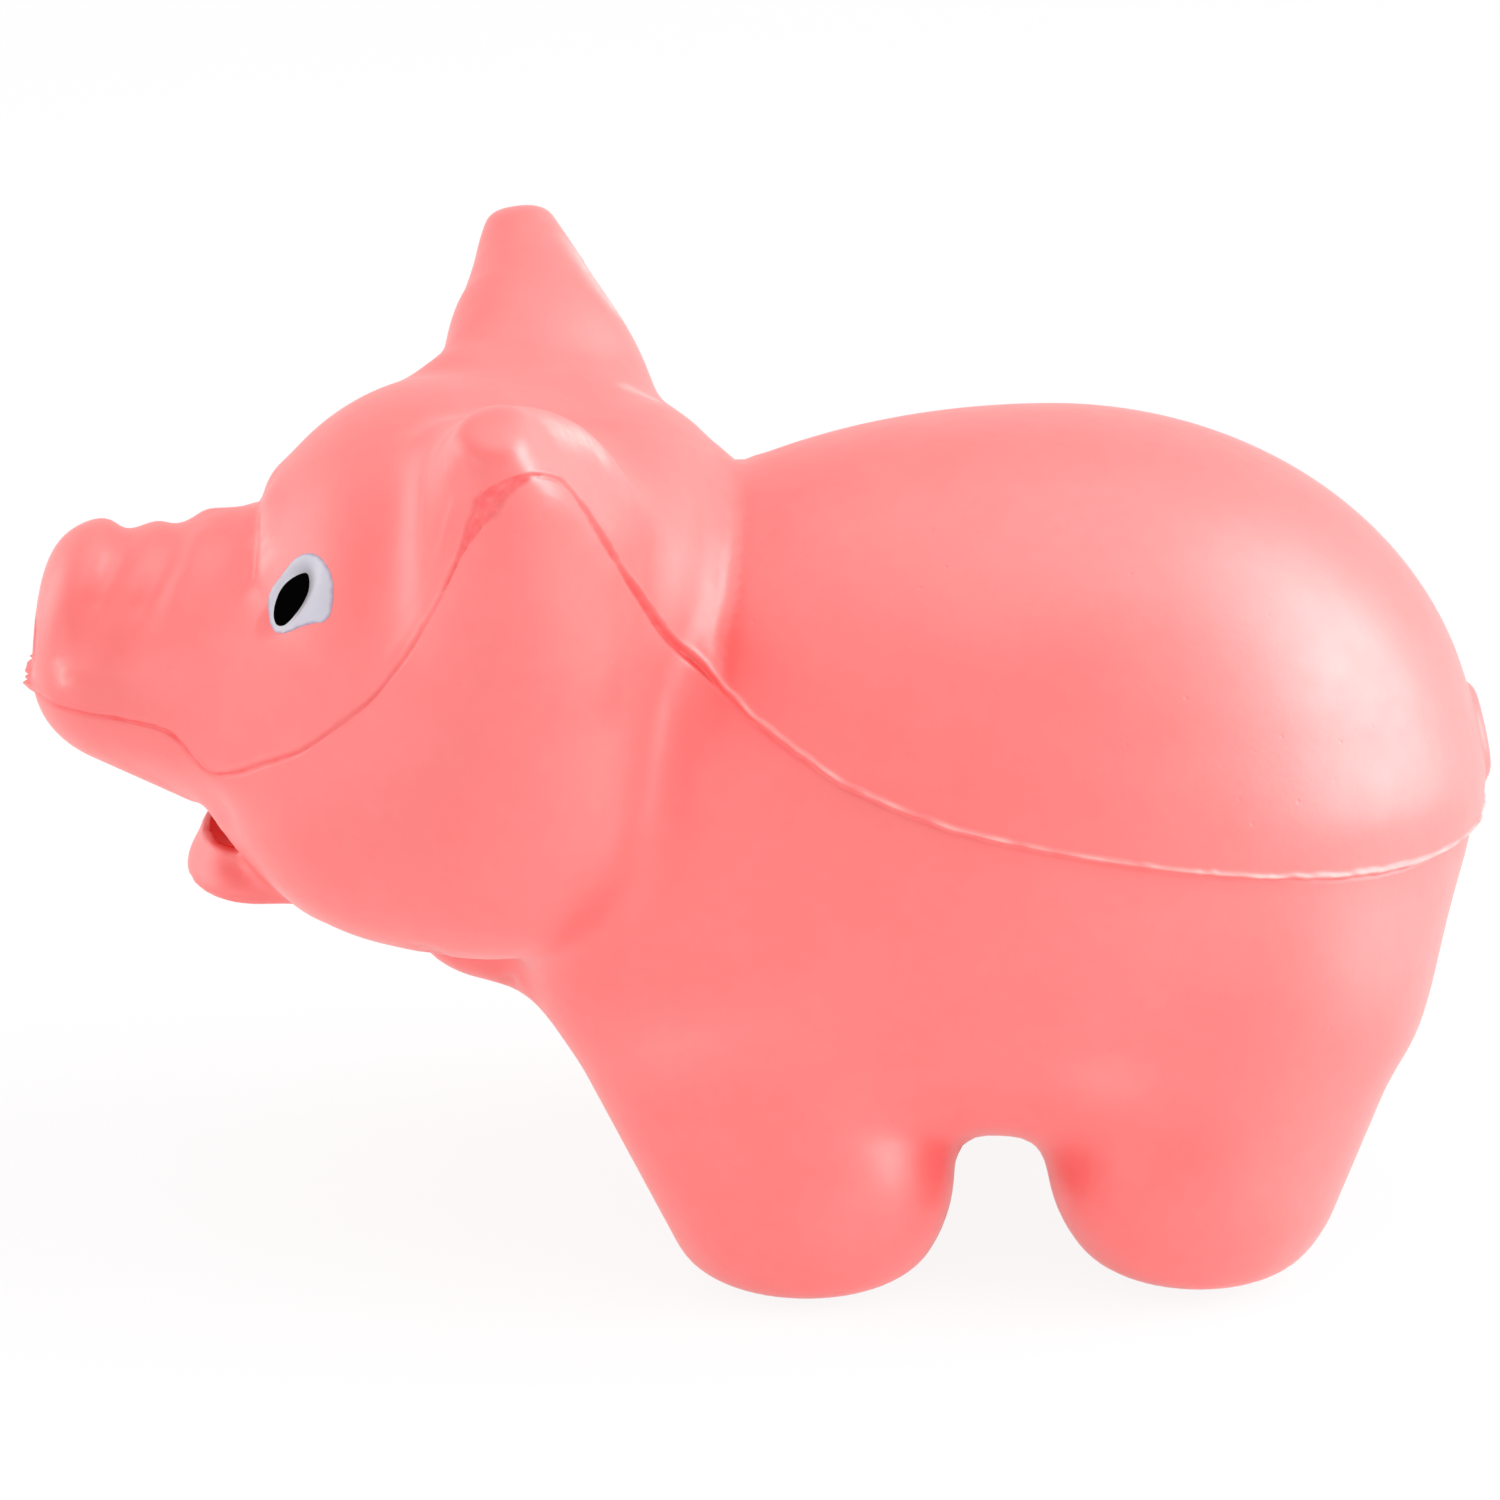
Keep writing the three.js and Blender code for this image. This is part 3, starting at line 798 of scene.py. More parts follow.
    @classmethod
    def finish(cls, obj: bpy.types.Object, name: str, slot: str, material: bpy.types.Material) -> None:
        """Names, shades and dresses a piece that rides on the pig's one body."""
        obj.name = name
        obj.data.name = name
        cls.pick(obj)
        bpy.ops.object.mode_set(mode="EDIT")
        bpy.ops.mesh.select_all(action="SELECT")
        bpy.ops.mesh.normals_make_consistent(inside=False)
        bpy.ops.object.mode_set(mode="OBJECT")
        bpy.ops.object.shade_smooth()
        obj.data.materials.clear()
        obj.data.materials.append(material)
        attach(obj, "root")
        log.info("%s: %d faces", name, len(obj.data.polygons))


@dataclass
class Skin:
    """The foam moulding: one closed skin with the parting line, tail, nostrils and folds in it."""

    form: PigForm
    seam: Seam
    strokes: tuple[Stroke, ...]
    # Highlights painted as whitish marks in the skin's colour.
    blooms: tuple[Stroke, ...]
    hollow: "EyeHollow"
    tail: TailCurl = TailCurl()
    nostril: Nostril = Nostril()
    coarse: float = 1.0
    even: float = 0.75
    settle_rounds: int = 14
    slide: float = 0.6
    fine_face: float = -26.0
    fine_ears: float = 54.0
    cut_reach: float = 4.0
    cut_snap: float = 1e-4
    wrap: float = 20.0
    speckle_width: float = 2.0
    tail_fade: tuple[float, float] = (0.5, 1.5)
    strip_half: float = 1.5
    strip_gap: float = 0.45
    strip_rows: tuple[float, ...] = (0.0, 0.07, 0.15, 0.24, 0.34, 0.46, 0.6, 0.78, 1.0, 1.24, 1.5)
    tail_start: float = 40.0
    tail_reach: float = 7.2
    replaced: tuple[str, ...] = (
        "torso", "head", "snout", "lower_lip", "tail", "left_ear", "right_ear",
        "left_front_leg", "right_front_leg", "left_rear_leg", "right_rear_leg",
    )

    def _rough(self) -> bpy.types.Object:
        """Balls and rods for every form, joined under one even skin with the mouth opened."""
        parts = []
        for form in self.form.single():
            parts.append(Bench.egg(form) if isinstance(form, Egg) else Bench.rod(form))
        for form in self.form.paired():
            for side in Side:
                make = Bench.egg if isinstance(form, Egg) else Bench.rod
                parts.append(make(form, side.value))
        Bench.pick(*parts)
        bpy.ops.object.join()
        body = parts[0]
        Bench.remesh(body, self.coarse)
        Bench.carve(body, Bench.egg(self.form.mouth))
        Bench.remesh(body, self.even)
        return body

    def _settle(self, obj: bpy.types.Object, rounds: int) -> None:
        """Draws the skin onto the flowing form while its faces even out."""
        places = Bench.places(obj.data)
        pairs = Bench.edges(obj.data)
        count = np.bincount(pairs.ravel(), minlength=len(places))[:, None]
        for _ in range(rounds):
            total = np.zeros_like(places)
            for k in range(3):
                total[:, k] = np.bincount(pairs[:, 0], places[pairs[:, 1], k], len(places))
                total[:, k] += np.bincount(pairs[:, 1], places[pairs[:, 0], k], len(places))
            pull = total / count - places
            out = self.form.facing(places)
            pull -= (pull * out).sum(1, keepdims=True) * out
            places = self.form.drop(places + self.slide * pull, 1)
        Bench.move(obj.data, self.form.drop(places))

    def _is_tail(self, p: np.ndarray) -> np.ndarray:
        """Whether places lie on the tail's part of the rump."""
        away = np.hypot(p[:, 1], p[:, 2] - self.tail.height)
        return (p[:, 0] > self.tail_start) & (away < self.tail_reach)

    def _is_fine(self, p: np.ndarray) -> np.ndarray:
        """Whether places lie where the forms are small: on the face, the ears' tips or the tail."""
        return (p[:, 0] < self.fine_face) | (p[:, 2] > self.fine_ears) | self._is_tail(p)

    def _open_band(self, obj: bpy.types.Object) -> tuple[np.ndarray, list[list[int]], list[np.ndarray]]:
        """Cuts the band beside the parting line out of the skin.

        Args:
            obj: The even skin.

        Returns:
            The corners left, the faces left, and the two open edges as corners in order along the line,
            upper first.
        """
        reach = self.strip_half + self.strip_gap
        bm = bmesh.new()
        bm.from_mesh(obj.data)
        bm.verts.ensure_lookup_table()
        places = np.array([v.co for v in bm.verts])
        across = self.seam.near(places)[1]
        for level in (reach, -reach):
            across = np.where(np.abs(across - level) < self.cut_snap, level + self.cut_snap, across)
        away = dict(zip(bm.verts, across))
        for level in (reach, -reach):
            fresh = []
            for edge in list(bm.edges):
                a, b = edge.verts
                da, db = away[a] - level, away[b] - level
                if da * db < 0 and max(abs(away[a]), abs(away[b])) < self.cut_reach:
                    made = bmesh.utils.edge_split(edge, a, da / (da - db))[1]
                    away[made] = level
                    fresh.append(made)
            bmesh.ops.connect_verts(bm, verts=fresh)
        band = [f for f in bm.faces if all(abs(away[v]) <= reach + 1e-6 for v in f.verts)]
        bmesh.ops.delete(bm, geom=band, context="FACES")
        rims = [self._rim(bm, away, sign) for sign in (1, -1)]
        bm.verts.index_update()
        rims = [np.array([v.index for v in rim]) for rim in rims]
        points = np.array([v.co for v in bm.verts])
        faces = [[v.index for v in f.verts] for f in bm.faces]
        bm.free()
        return points, faces, rims

    def _rim(self, bm: bmesh.types.BMesh, away: dict, sign: int) -> list[bmesh.types.BMVert]:
        """One open edge of the cut skin, as corners in order along the parting line."""
        edges = [e for e in bm.edges if e.is_boundary and sign * (away[e.verts[0]] + away[e.verts[1]]) > 0]
        beside: dict = {}
        for edge in edges:
            for v in edge.verts:
                beside.setdefault(v, []).append(edge.other_vert(v))
        if any(len(others) != 2 for others in beside.values()):
            raise RuntimeError("the cut beside the parting line isn't a plain loop")
        rim = [edges[0].verts[0], edges[0].verts[1]]
        while True:
            ahead = [v for v in beside[rim[-1]] if v is not rim[-2]][0]
            if ahead is rim[0]:
                break
            rim.append(ahead)
        if len(rim) != len(beside):
            raise RuntimeError("the cut beside the parting line has more than one loop")
        return rim

    def _stitch(self, rim: np.ndarray, rim_run: np.ndarray, row: np.ndarray, row_run: np.ndarray,
                above: bool) -> list[list[int]]:
        """Fills the slit between an open edge of the skin and one of the strip's outer rows with triangles.

        Args:
            rim: Corners of the open edge in order along the line.
            rim_run: How far along the line each of them lies.
            row: Corners of the strip's outer row.
            row_run: How far along the line each of them lies.
            above: Whether the open edge lies above the strip.

        Returns:
            Triangles that face outwards.
        """
        faces = []
        i = j = 0
        n, m = len(rim), len(row)
        while i < n or j < m:
            rim_next = rim_run[i + 1] if i + 1 < n else rim_run[0] + self.seam.length
            row_next = row_run[j + 1] if j + 1 < m else row_run[0] + self.seam.length
            a, b = rim[i % n], row[j % m]
            if j >= m or (i < n and rim_next <= row_next):
                tri = [a, rim[(i + 1) % n], b]
                i += 1
            else:
                tri = [a, row[(j + 1) % m], b]
                j += 1
            faces.append(tri if above else tri[::-1])
        return faces

    def _strip(self) -> tuple[np.ndarray, np.ndarray]:
        """Rows of corners beside the parting line, from below it up, and each row's distance across it."""
        ups = np.array(self.strip_rows)
        rows = np.concatenate([-ups[:0:-1], ups])
        grid = self.seam.points[None] + rows[:, None, None] * self.seam.across[None]
        shape = grid.shape
        return self.form.drop(grid.reshape(-1, 3), 6).reshape(shape), rows

    def _along(self, points: np.ndarray, rim: np.ndarray) -> tuple[np.ndarray, np.ndarray]:
        """Turns an open edge to run along the line from its start, with how far along each corner lies."""
        index, _, ahead = self.seam.near(points[rim])
        run = self.seam.run[index] + ahead
        if np.median(np.diff(run)) < 0:
            rim, run = rim[::-1], run[::-1]
        start = int(np.argmin(np.where(run < 0.5 * self.seam.length, run, np.inf)))
        rim, run = np.roll(rim, -start), np.roll(run, -start)
        late = np.arange(len(run)) > len(run) / 2
        run = np.where(late & (run < self.wrap), run + self.seam.length, run)
        return rim, np.maximum.accumulate(run)

    def _seamed(self, body: bpy.types.Object) -> tuple[np.ndarray, list[list[int]], np.ndarray, np.ndarray]:
        """Puts a strip of finer mesh in place of the skin beside the parting line.

        Args:
            body: The even skin.

        Returns:
            All corners, all faces, and for each corner the index of the nearest point of the line and the
            distance across it.
        """
        points, faces, rims = self._open_band(body)
        strip, rows = self._strip()
        levels, steps = strip.shape[:2]
        first = len(points)
        order = first + np.arange(levels * steps).reshape(levels, steps)
        ahead = np.roll(np.arange(steps), -1)
        for low, high in zip(order, order[1:]):
            faces += np.stack([low, high, high[ahead], low[ahead]], axis=1).tolist()
        for rim, row, above in ((rims[0], order[-1], True), (rims[1], order[0], False)):
            rim, run = self._along(points, rim)
            faces += self._stitch(rim, run, row, self.seam.run, above)
        base = np.vstack([points, strip.reshape(-1, 3)])
        index, across, _ = self.seam.near(base)
        across[first:] = np.repeat(rows, steps)
        index[first:] = np.tile(np.arange(steps), levels)
        return base, faces, index, across

    def _highlight_strength(self, base: np.ndarray) -> np.ndarray:
        """How strongly highlights are painted whitish on the skin, speckled on the narrow marks."""
        speckle = 0.85 + 0.45 * lumps(base, 0.4, 31)
        total = np.zeros(len(base))
        for mark in self.blooms:
            total += mark.over(base) * (speckle if mark.width < self.speckle_width else 1)
        return total

    def build(self, material: bpy.types.Material) -> None:
        """Models the moulding in its finish."""
        body = self._rough()
        self._settle(body, self.settle_rounds)
        log.info("even skin: %d faces", len(body.data.polygons))
        Bench.refine(body, self._is_fine)
        self._settle(body, 3)
        Bench.refine(body, self._is_tail)
        Bench.move(body.data, self.form.drop(Bench.places(body.data), 3))
        base, faces, index, across = self._seamed(body)
        relief = SeamRelief(self.seam)
        height = relief.heights(index, across, base)
        height += ease(np.abs(across), *self.tail_fade) * self.tail.relief(base) + self.nostril.relief(base)
        height += self.hollow.relief(base)
        for stroke in self.strokes:
            height += stroke.over(base)
        places = base + height[:, None] * self.form.facing(base)
        places[:, 2] = np.maximum(places[:, 2], 0.0)
        mesh = bpy.data.meshes.new("foam_body")
        mesh.from_pydata((places * MM).tolist(), [], faces)
        mesh.update()
        # Painted highlights: whitish pink where light catches the ear, brow, snout tip, nape, legs and the
        # flank's seam crest.
        bloom = np.clip(self._highlight_strength(base) + relief.crest_highlight(index, across), 0, 1)
        # deep_pink: shade painted along the parting line's groove, and the trimmed strips at the ears.
        Bench.mark(mesh, deep_pink=relief.redness(index, across, base), bloom=bloom)
        old, body.data = body.data, mesh
        bpy.data.meshes.remove(old)
        Bench.finish(body, "foam_body", "foam", material)
        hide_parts(*self.replaced)


@dataclass(frozen=True)
class EyeHollow:
    """Where each eye lies, and the shallow dish in the skin that holds its pupil."""

    centre: Point = (-30.22, 13.53, 48.24)
    out: Point = (-0.711, 0.503, 0.492)
    back: Point = (0.578, 0.816, 0.0)
    up: Point = (0.401, -0.284, 0.871)
    middle: tuple[float, float] = (-1.1, -0.55)
    along: tuple[float, float] = (0.44, 0.9)
    length: float = 2.1
    width: float = 1.2
    slope: tuple[float, float] = (0.95, 1.75)
    depth: float = 0.32
    reach: float = 3.0

    def relief(self, points: np.ndarray) -> np.ndarray:
        """Depth of the dish, as negative heights.

        Args:
            points: Places on or near the skin, on either side.

        Returns:
            One height in millimetres for each place.
        """
        way = np.abs(points) * np.array([0, 1, 0]) + points * np.array([1, 0, 1]) - np.array(self.centre)
        a = way @ np.array(self.back) - self.middle[0]
        b = way @ np.array(self.up) - self.middle[1]
        share = np.hypot((a * self.along[0] + b * self.along[1]) / self.length,
                         (a * self.along[1] - b * self.along[0]) / self.width)
        dish = -self.depth * (1 - ease(share, *self.slope))
        return np.where(np.abs(way @ np.array(self.out)) < self.reach, dish, 0)


@dataclass
class EyePaint:
    """The painted eye: a white patch with a pupil over it, both following the skin."""

    form: PigForm
    hollow: EyeHollow
    white: Marks = (
        (-1.0, 2.65), (0.3, 2.7), (1.7, 2.1), (2.6, 1.1), (3.1, -0.25), (2.8, -1.0), (2.1, -1.35),
        (1.1, -1.9), (0.0, -2.6), (-1.1, -3.0), (-2.1, -2.85), (-2.9, -2.2), (-3.4, -1.3), (-3.3, -0.4),
        (-2.75, 0.6), (-2.05, 1.95),
    )
    pupil: Marks = (
        (-0.6, 1.3), (-0.05, 1.0), (0.3, 0.35), (0.3, -0.3), (0.05, -1.05), (-0.5, -1.9),
        (-1.05, -2.33), (-1.7, -2.4), (-2.28, -2.03), (-2.54, -1.46), (-2.48, -0.6), (-2.13, 0.15),
        (-1.45, 0.85),
    )
    white_rise: float = 0.14
    pupil_rise: float = 0.22
    pupil_grow: float = 1.14
    sunk: float = 0.25
    # Where the shade painted on the white beside the pupil falls, and how wide it is.
    mist_way: tuple[float, float] = (0.8, 0.6)
    mist_width: float = 0.6
    flatness: int = 6
    segments: int = 96
    press_rounds: int = 8
    least_lean: float = 0.3

    @staticmethod
    def _curve(ring: np.ndarray, share: np.ndarray) -> np.ndarray:
        """Places on a closed smooth curve through a ring of points, for shares of the way round."""
        count = len(ring)
        where = share * count
        cell = np.floor(where).astype(int)
        t = (where - cell)[:, None]
        p0, p1, p2, p3 = (ring[(cell + k) % count] for k in (-1, 0, 1, 2))
        return 0.5 * (2 * p1 + (p2 - p0) * t + (2 * p0 - 5 * p1 + 4 * p2 - p3) * t**2
                      + (3 * p1 - p0 - 3 * p2 + p3) * t**3)

    def _mist(self, flat: np.ndarray) -> np.ndarray:
        """How much shade is painted on the white beside the pupil, from 0 to 1, most above and behind it.
        """
        ring = self._curve(np.array(self.pupil), np.linspace(0, 1, self.segments, endpoint=False))
        way = flat - ring.mean(axis=0)
        away = np.linalg.norm(flat[:, None] - ring[None], axis=2).min(axis=1)
        toward = np.clip(unit(way) @ np.array(self.mist_way), 0, 1)
        return bell(away, 0, self.mist_width) * toward

    def _film(self, name: str, outline: np.ndarray, rise: float, side: Side,
              slot: str, material: bpy.types.Material) -> bpy.types.Object:
        """Presses a ball into a thin film with a round rim that lies on the skin.

        Args:
            name: The piece's name.
            outline: Points round the film, back and up from the eye's centre.
            rise: How far its face stands over the skin.
            side: The side that it is on.
            slot: Not used.
            material: Its finish.

        Returns:
            The finished piece.
        """
        obj = Bench.ball(name, self.segments, self.segments // 2)
        ball = Bench.places(obj.data)
        ring = np.hypot(ball[:, 0], ball[:, 1])
        share = (np.arctan2(ball[:, 1], ball[:, 0]) / (2 * math.pi)) % 1
        middle = outline.mean(axis=0)
        flat = middle + ring[:, None] * (self._curve(outline, share) - middle)
        face = np.sign(ball[:, 2]) * np.sqrt(np.maximum(1 - ring**self.flatness, 0))
        level = np.where(face >= 0, face * rise, face * self.sunk)
        eye = self.hollow
        places = np.array(eye.centre) + flat[:, :1] * np.array(eye.back) + flat[:, 1:] * np.array(eye.up)
        line = np.array(eye.out)
        level = level + eye.relief(places)
        for _ in range(self.press_rounds):
            away, rate = self.form.slope(places)
            places = places - ((away - level) / np.clip(rate @ line, self.least_lean, None))[:, None] * line
        Bench.move(obj.data, places * np.array([1, side.value, 1]) * MM)
        # The white carries its rim and the shade painted beside the pupil.
        Bench.mark(obj.data, rim=ring, mist=self._mist(flat))
        Bench.finish(obj, name, slot, material)
        return obj

    def build(self, white: bpy.types.Material, black: bpy.types.Material) -> None:
        """Paints both eyes."""
        for side in Side:
            word = side.name.lower()
            ring = np.array(self.white)
            film = self._film(f"{word}_eye_paint", ring, self.white_rise, side, "white_paint", white)
            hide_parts(f"{word}_eye_white")
            ring = np.array(self.pupil)
            wide = ring.mean(axis=0) + self.pupil_grow * (ring - ring.mean(axis=0))
            dot = self._film(f"{word}_pupil_paint", wide, self.pupil_rise, side, "black_paint", black)
            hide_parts(f"{word}_pupil")


@dataclass
class MouthPaint:
    """The red paint inside the mouth: a thin bowl that follows the wall of the opening."""

    form: PigForm
    inset: float = 0.45
    over: float = 0.04
    thick: float = 0.25
    halvings: int = 2

    def build(self, material: bpy.types.Material) -> None:
        """Models the bowl from a ball, without the part that stands out of the mouth."""
        obj = Bench.egg(self.form.mouth)
        for _ in range(self.halvings):
            Bench.refine(obj, lambda p: np.ones(len(p), bool))
        Bench.pick_faces(obj, lambda p: self.form.closed(p) > -self.inset)
        bpy.ops.mesh.delete(type="FACE")
        bpy.ops.object.mode_set(mode="OBJECT")
        Bench.move(obj.data, self.form.drop(Bench.places(obj.data), 6, self.over) * MM)
        wall = obj.modifiers.new("Film", "SOLIDIFY")
        wall.thickness = self.thick * MM
        wall.offset = 1
        Bench.pick(obj)
        bpy.ops.object.modifier_apply(modifier=wall.name)
        Bench.finish(obj, "mouth_red_paint", "red_paint", material)
        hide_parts("mouth_paint")


class Link:
    """A shader socket that Python's operators work on."""

    def __init__(self, shader: "Shader", value: bpy.types.NodeSocket) -> None:
        """Keeps the socket and the nodes that it belongs to."""
        self.shader = shader
        self.value = value

    def _maths(self, operation: str, *values: "Link | float") -> "Link":
        """A Math node on some values."""
        return self.shader.node("ShaderNodeMath", {"operation": operation}, dict(enumerate(values)))

    def __add__(self, other: "Link | float") -> "Link":
        """This value plus another."""
        return self._maths("ADD", self, other)

    def __radd__(self, other: float) -> "Link":
        """A number plus this value."""
        return self._maths("ADD", other, self)

    def __sub__(self, other: "Link | float") -> "Link":
        """This value less another."""
        return self._maths("SUBTRACT", self, other)

    def __rsub__(self, other: float) -> "Link":
        """A number less this value."""
        return self._maths("SUBTRACT", other, self)

    def __mul__(self, other: "Link | float") -> "Link":
        """This value times another."""
        return self._maths("MULTIPLY", self, other)

    def held(self) -> "Link":
        """This value kept between 0 and 1."""
        return self.shader.node("ShaderNodeClamp", {}, {"Value": self})


class Shader:
    """The nodes of a material or of the world, under construction."""

    def __init__(self, owner: "bpy.types.Material | bpy.types.World") -> None:
        """Starts with no nodes."""
        self.owner = owner
        owner.use_nodes = True
        self.tree = owner.node_tree
        self.tree.nodes.clear()

    def node(self, kind: str, settings: dict, inputs: dict, output: "int | str" = 0) -> Link:
        """Adds a node.

        Args:
            kind: The node's type.
            settings: The node's own settings.
            inputs: Values or links for its sockets, by name or number.
            output: The output socket to hand back.

        Returns:
            The output socket.
        """
        made = self.tree.nodes.new(kind)
        for key, value in settings.items():
            setattr(made, key, value)
        for key, value in inputs.items():
            if isinstance(value, Link):
                self.tree.links.new(value.value, made.inputs[key])
            else:
                made.inputs[key].default_value = value
        return Link(self, made.outputs[output])

    def place(self) -> Link:
        """The object's own coordinates."""
        return self.node("ShaderNodeTexCoord", {}, {}, "Object")

    def noise(self, size: float, detail: float = 2.0) -> Link:
        """Cloudy noise around 0.5 with clouds of a size in millimetres."""
        return self.node("ShaderNodeTexNoise", {}, {
            "Vector": self.place(), "Scale": 1 / (size * MM), "Detail": detail, "Roughness": 0.55}, "Fac")

    def cells(self, size: float) -> Link:
        """Distance to the nearest of scattered points, as a share of their spacing in millimetres."""
        return self.node("ShaderNodeTexVoronoi", {}, {
            "Vector": self.place(), "Scale": 1 / (size * MM)}, "Distance")

    def mix(self, share: "Link | float", first: "tuple | Link", second: "tuple | Link") -> Link:
        """A colour between two colours."""
        return self.node("ShaderNodeMix", {"data_type": "RGBA"}, {0: share, 6: first, 7: second}, 2)

    def attribute(self, name: str) -> Link:
        """A number that the mesh carries."""
        return self.node("ShaderNodeAttribute", {"attribute_name": name}, {}, "Fac")

    def bump(self, height: Link, depth: float) -> Link:
        """Fine relief, in millimetres from its lowest to its highest."""
        return self.node("ShaderNodeBump", {}, {"Height": height, "Strength": 1.0, "Distance": depth * MM})

    def backdrop(self) -> Link:
        """1 for rays that show the camera its background, also mirrored or through a piece, otherwise 0."""
        seen, mirrored, through = (
            self.node("ShaderNodeLightPath", {}, {}, f"Is {kind} Ray")
            for kind in ("Camera", "Glossy", "Transmission"))
        return (seen + mirrored + through).held()

    def surface(self, **sockets: "Link | float | tuple") -> bpy.types.Material:
        """Ends the material in a Principled shader whose sockets are given by name."""
        inputs = {name.replace("_", " "): value for name, value in sockets.items()}
        return self.end("Material", self.node("ShaderNodeBsdfPrincipled", {}, inputs))

    def end(self, kind: str, closure: Link) -> "bpy.types.Material | bpy.types.World":
        """Sends a closure to the output, and hands back what it dresses."""
        output = self.tree.nodes.new(f"ShaderNodeOutput{kind}")
        self.tree.links.new(closure.value, output.inputs["Surface"])
        return self.owner


@dataclass(frozen=True)
class FoamFinish:
    """Self-skinned polyurethane foam, dyed pink through, with its sizes in millimetres."""

    pink: Colour = (1.0, 0.147, 0.141, 1)
    pale: Colour = (1.0, 0.167, 0.16, 1)
    # Deeper pink of the shade painted along the parting line's groove and of the trimmed strips.
    deep: Colour = (1.0, 0.062, 0.066, 1)
    # Whitish pink of the painted highlights.
    highlight_pink: Colour = (1.0, 0.5, 0.47, 1)
    sheen: Colour = (1.0, 0.75, 0.72, 1)
    cloud: float = 7.0
    fleck: float = 1.3
    grain: float = 0.5
    pores_apart: float = 2.4
    relief: float = 0.03
    roughness: float = 0.43
    uneven: float = 0.16

    def material(self) -> bpy.types.Material:
        """Builds the finish: mottling, a grain, pin holes, a deeper pink for shade painted along the
        parting line's groove and for the trimmed strips, and a whitish pink for painted highlights.
        """
        shader = Shader(bpy.data.materials.new("pink_foam"))
        mottle = shader.noise(self.cloud) * 0.6 + shader.noise(self.fleck) * 0.4
        colour = shader.mix(((mottle - 0.35) * 3).held(), self.pink, self.pale)
        # Painted shade along the parting line's groove, and the trimmed strips, in a deeper pink.
        colour = shader.mix(shader.attribute("deep_pink"), colour, self.deep)
        # Painted highlights: the skin turns whitish pink where the mesh marks them.
        colour = shader.mix(shader.attribute("bloom"), colour, self.highlight_pink)
        pits = 1 - (shader.cells(self.pores_apart) * 12).held()
        return shader.surface(
            Base_Color=colour,
            Roughness=self.roughness + (shader.noise(2.0) - 0.5) * self.uneven,
            Normal=shader.bump(shader.noise(self.grain, 3.0) * 0.5 - pits, self.relief),
            Specular_IOR_Level=1.0,
            Coat_Weight=0.5,
            Coat_Roughness=0.5,
            Sheen_Weight=0.1,
            Sheen_Roughness=0.35,
            Sheen_Tint=self.sheen,
        )


@dataclass(frozen=True)
class EyeWhiteFinish:
    """White paint with a lavender tint, thinner and pinker at its rim, with shade painted beside the pupil,
    and with its sizes in millimetres.
    """

    white: Colour = (0.61, 0.6, 0.68, 1)
    grey: Colour = (0.5, 0.49, 0.55, 1)
    rim: Colour = (0.42, 0.34, 0.48, 1)
    # Near-black of the shade painted on the white beside the pupil.
    mist: Colour = (0.1, 0.09, 0.1, 1)
    cloud: float = 1.6
    rim_start: float = 0.98
    rim_steep: float = 12.0
    mist_share: float = 0.75
    relief: float = 0.02
    roughness: float = 0.38

    def material(self) -> bpy.types.Material:
        """Builds the finish."""
        shader = Shader(bpy.data.materials.new("lavender_white_paint"))
        clouds = ((shader.noise(self.cloud) - 0.4) * 2).held() * 0.5
        thin = shader.attribute("rim") + shader.noise(0.6) * 0.12 - self.rim_start
        colour = shader.mix(clouds, self.white, self.grey)
        colour = shader.mix((thin * self.rim_steep).held(), colour, self.rim)
        return shader.surface(
            # Painted shade: the white darkens beside the pupil.
            Base_Color=shader.mix((shader.attribute("mist") * self.mist_share).held(), colour, self.mist),
            Roughness=self.roughness + shader.noise(0.8) * 0.1,
            Normal=shader.bump(shader.noise(0.5), self.relief),
        )


@dataclass(frozen=True)
class PupilFinish:
    """Black gloss paint."""

    black: Colour = (0.001, 0.001, 0.001, 1)
    worn: Colour = (0.002, 0.0015, 0.0015, 1)
    relief: float = 0.015
    roughness: float = 0.3

    def material(self) -> bpy.types.Material:
        """Builds the finish."""
        shader = Shader(bpy.data.materials.new("black_paint"))
        return shader.surface(
            Base_Color=shader.mix(shader.noise(0.7), self.black, self.worn),
            Roughness=self.roughness + shader.noise(0.9) * 0.12,
            Normal=shader.bump(shader.noise(0.6), self.relief),
            Specular_IOR_Level=0.0,
        )


@dataclass(frozen=True)
class MouthFinish:
    """Dark red paint."""

    red: Colour = (1.0, 0.05, 0.018, 1)
    dark: Colour = (0.8, 0.03, 0.012, 1)
    relief: float = 0.02
    roughness: float = 0.42

    def material(self) -> bpy.types.Material:
        """Builds the finish."""
        shader = Shader(bpy.data.materials.new("dark_red_paint"))
        return shader.surface(
            Base_Color=shader.mix(shader.noise(1.2), self.red, self.dark),
            Roughness=self.roughness + shader.noise(0.8) * 0.1,
            Normal=shader.bump(shader.noise(0.5), self.relief),
            Specular_IOR_Level=0.15,
        )


@dataclass(frozen=True)
class Lamp:
    """A soft square lamp: where it stands, its power in watts and its width."""

    name: str
    at: Point
    energy: float
    size: float


